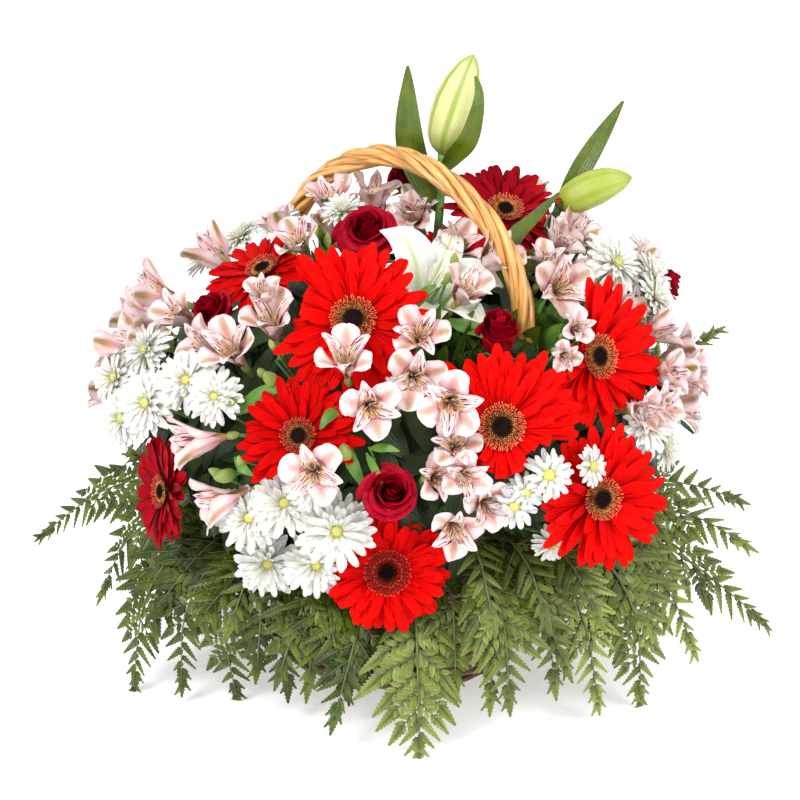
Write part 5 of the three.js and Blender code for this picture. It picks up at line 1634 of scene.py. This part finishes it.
def skirt_fronds():
    """Shorter fronds under and between the long ones"""
    random = np.random.default_rng(710)
    shape = Shape()
    for index in range(SKIRT_FRONDS):
        azimuth = 360 * index / SKIRT_FRONDS + random.normal(0, 3) - 176
        drop = random.uniform(24, 86)
        out = random.uniform(188, 226)
        sunk = 30 * math.exp(-(((azimuth + 95) / 21) ** 2))
        rib = [polar(112, azimuth, 128 - 0.4 * sunk), polar(146 - 0.3 * sunk, azimuth, 132 - sunk),
               polar(178 - 0.5 * sunk, azimuth, 118 - sunk),
               polar(out - 0.5 * sunk, azimuth + random.normal(0, 3), max(drop + 18 - 0.7 * sunk, 8))]
        # the frond's tone carries painted sheen towards the right of the front
        frond(shape, rib, random.uniform(46, 58), 0.2, random, fern_tone_and_sheen(azimuth, random))
    for azimuth, rib, reach, tone in FRONT_FRONDS:
        frond(shape, [polar(out, azimuth, up) for out, up in rib], reach, 0.15, random, tone)
    shape.piece("Fern_skirt", "fern_green")
    fern_tips(random)


def fern_tips(random):
    """Fern tips among the blooms"""
    shape = Shape()
    for index in range(FILLER_TIPS):
        azimuth = (index * TURN_STEP + 20) % 360 - 180
        ray, reach = dome_ray(azimuth, 14 + 50 * ((index * RISE_STEP) % 1))
        tip = FOCUS + ray * (reach - random.uniform(2, 14)) + UP * random.normal(0, 6)
        rib = [FOCUS + ray * 60, FOCUS + ray * 110 + UP * 6, tip]
        frond(shape, rib, random.uniform(26, 36), 0.4, random, random.uniform(0.0, 0.4))
    shape.piece("Fern_tips", "fern_green")


# Studio: each lamp's place, power and size
LAMPS = {
    "Key": ((-1.5, -1.9, 2.3), 74, 1.1),
    "Fill": ((1.9, -1.5, 1.5), 42, 1.6),
    "Back": ((0.2, 2.0, 2.6), 34, 1.6),
}
LAMP_TARGET = Vector((0, 0, 0.22))
SURROUND = 0.58
CAMERA_ELEVATION = 18 * DEG
CAMERA_DISTANCE = 2.0
CAMERA_TARGET = Vector((0, 0, 0.213))
CAMERA_LENS = 112.5


def stand(name, data, place, target):
    """Put a lamp or a camera at a place, looking at its target"""
    thing = bpy.data.objects.new(name, data)
    thing.location = place
    thing.rotation_euler = (target - place).to_track_quat("-Z", "Y").to_euler()
    bpy.context.scene.collection.objects.link(thing)
    return thing


def studio():
    """A pale floor, a bright even surround, a large key from the upper left and a soft fill"""
    bpy.ops.mesh.primitive_plane_add(size=24, location=(0, 0, 0))
    floor = bpy.context.object
    floor.name = "Floor"
    paint = Paint("floor", (0.93, 0.93, 0.93), 0.6, Specular_IOR_Level=0.2,
                  Emission_Color=(1, 1, 1, 1), Emission_Strength=0.42)
    paint.wash((0.95, 0.95, 0.95), paint.noise(3))
    floor.data.materials.append(paint.done())
    world = bpy.data.worlds.new("surround")
    world.use_nodes = True
    background = world.node_tree.nodes["Background"].inputs
    background["Color"].default_value = (1, 1, 1, 1)
    background["Strength"].default_value = SURROUND
    bpy.context.scene.world = world
    for name, (place, power, size) in LAMPS.items():
        lamp = bpy.data.lights.new(name, "AREA")
        lamp.energy = power
        lamp.size = size
        stand(name, lamp, Vector(place), LAMP_TARGET)


def camera():
    """The photograph's view: from the front and a little above"""
    back = Vector((0, -math.cos(CAMERA_ELEVATION), math.sin(CAMERA_ELEVATION)))
    eye = bpy.data.cameras.new("Camera")
    eye.lens = CAMERA_LENS
    eye.sensor_width = 36
    place = CAMERA_TARGET + back * CAMERA_DISTANCE
    bpy.context.scene.camera = stand("Camera", eye, place, CAMERA_TARGET)


camera()
studio()
bpy.context.scene.view_settings.view_transform = "Standard"

basket_bowl()
basket_rim()
basket_handle()
repaint("liner", LINER)
repaint("foam", FOAM)
for number, row in enumerate(GERBERAS, 1):
    gerbera(number, row)
for number, row in enumerate(ROSES, 1):
    rose(number, row)
lily_flower()
for number, row in enumerate(LILY_STALKS, 1):
    lily_stalk(number, row)
for number, row in enumerate(ALSTRO_SPRAYS, 1):
    spray("alstroemeria", number, row, np.random.default_rng(400 + number))
for number, row in enumerate(MUM_SPRAYS, 1):
    spray("mum", number, row, np.random.default_rng(450 + number))
for number, row in enumerate(FERN_GROUPS, 1):
    fern_group(number, row)
extra_blooms("Extra_alstroemerias", "alstroemeria_pink", EXTRA_ALSTROS, "alstroemeria", 720)
extra_blooms("Extra_chrysanthemums", "chrysanthemum_white", EXTRA_MUMS, "mum", 730)
front_sprigs()
core_leaves()
filler_leaves()
skirt_fronds()
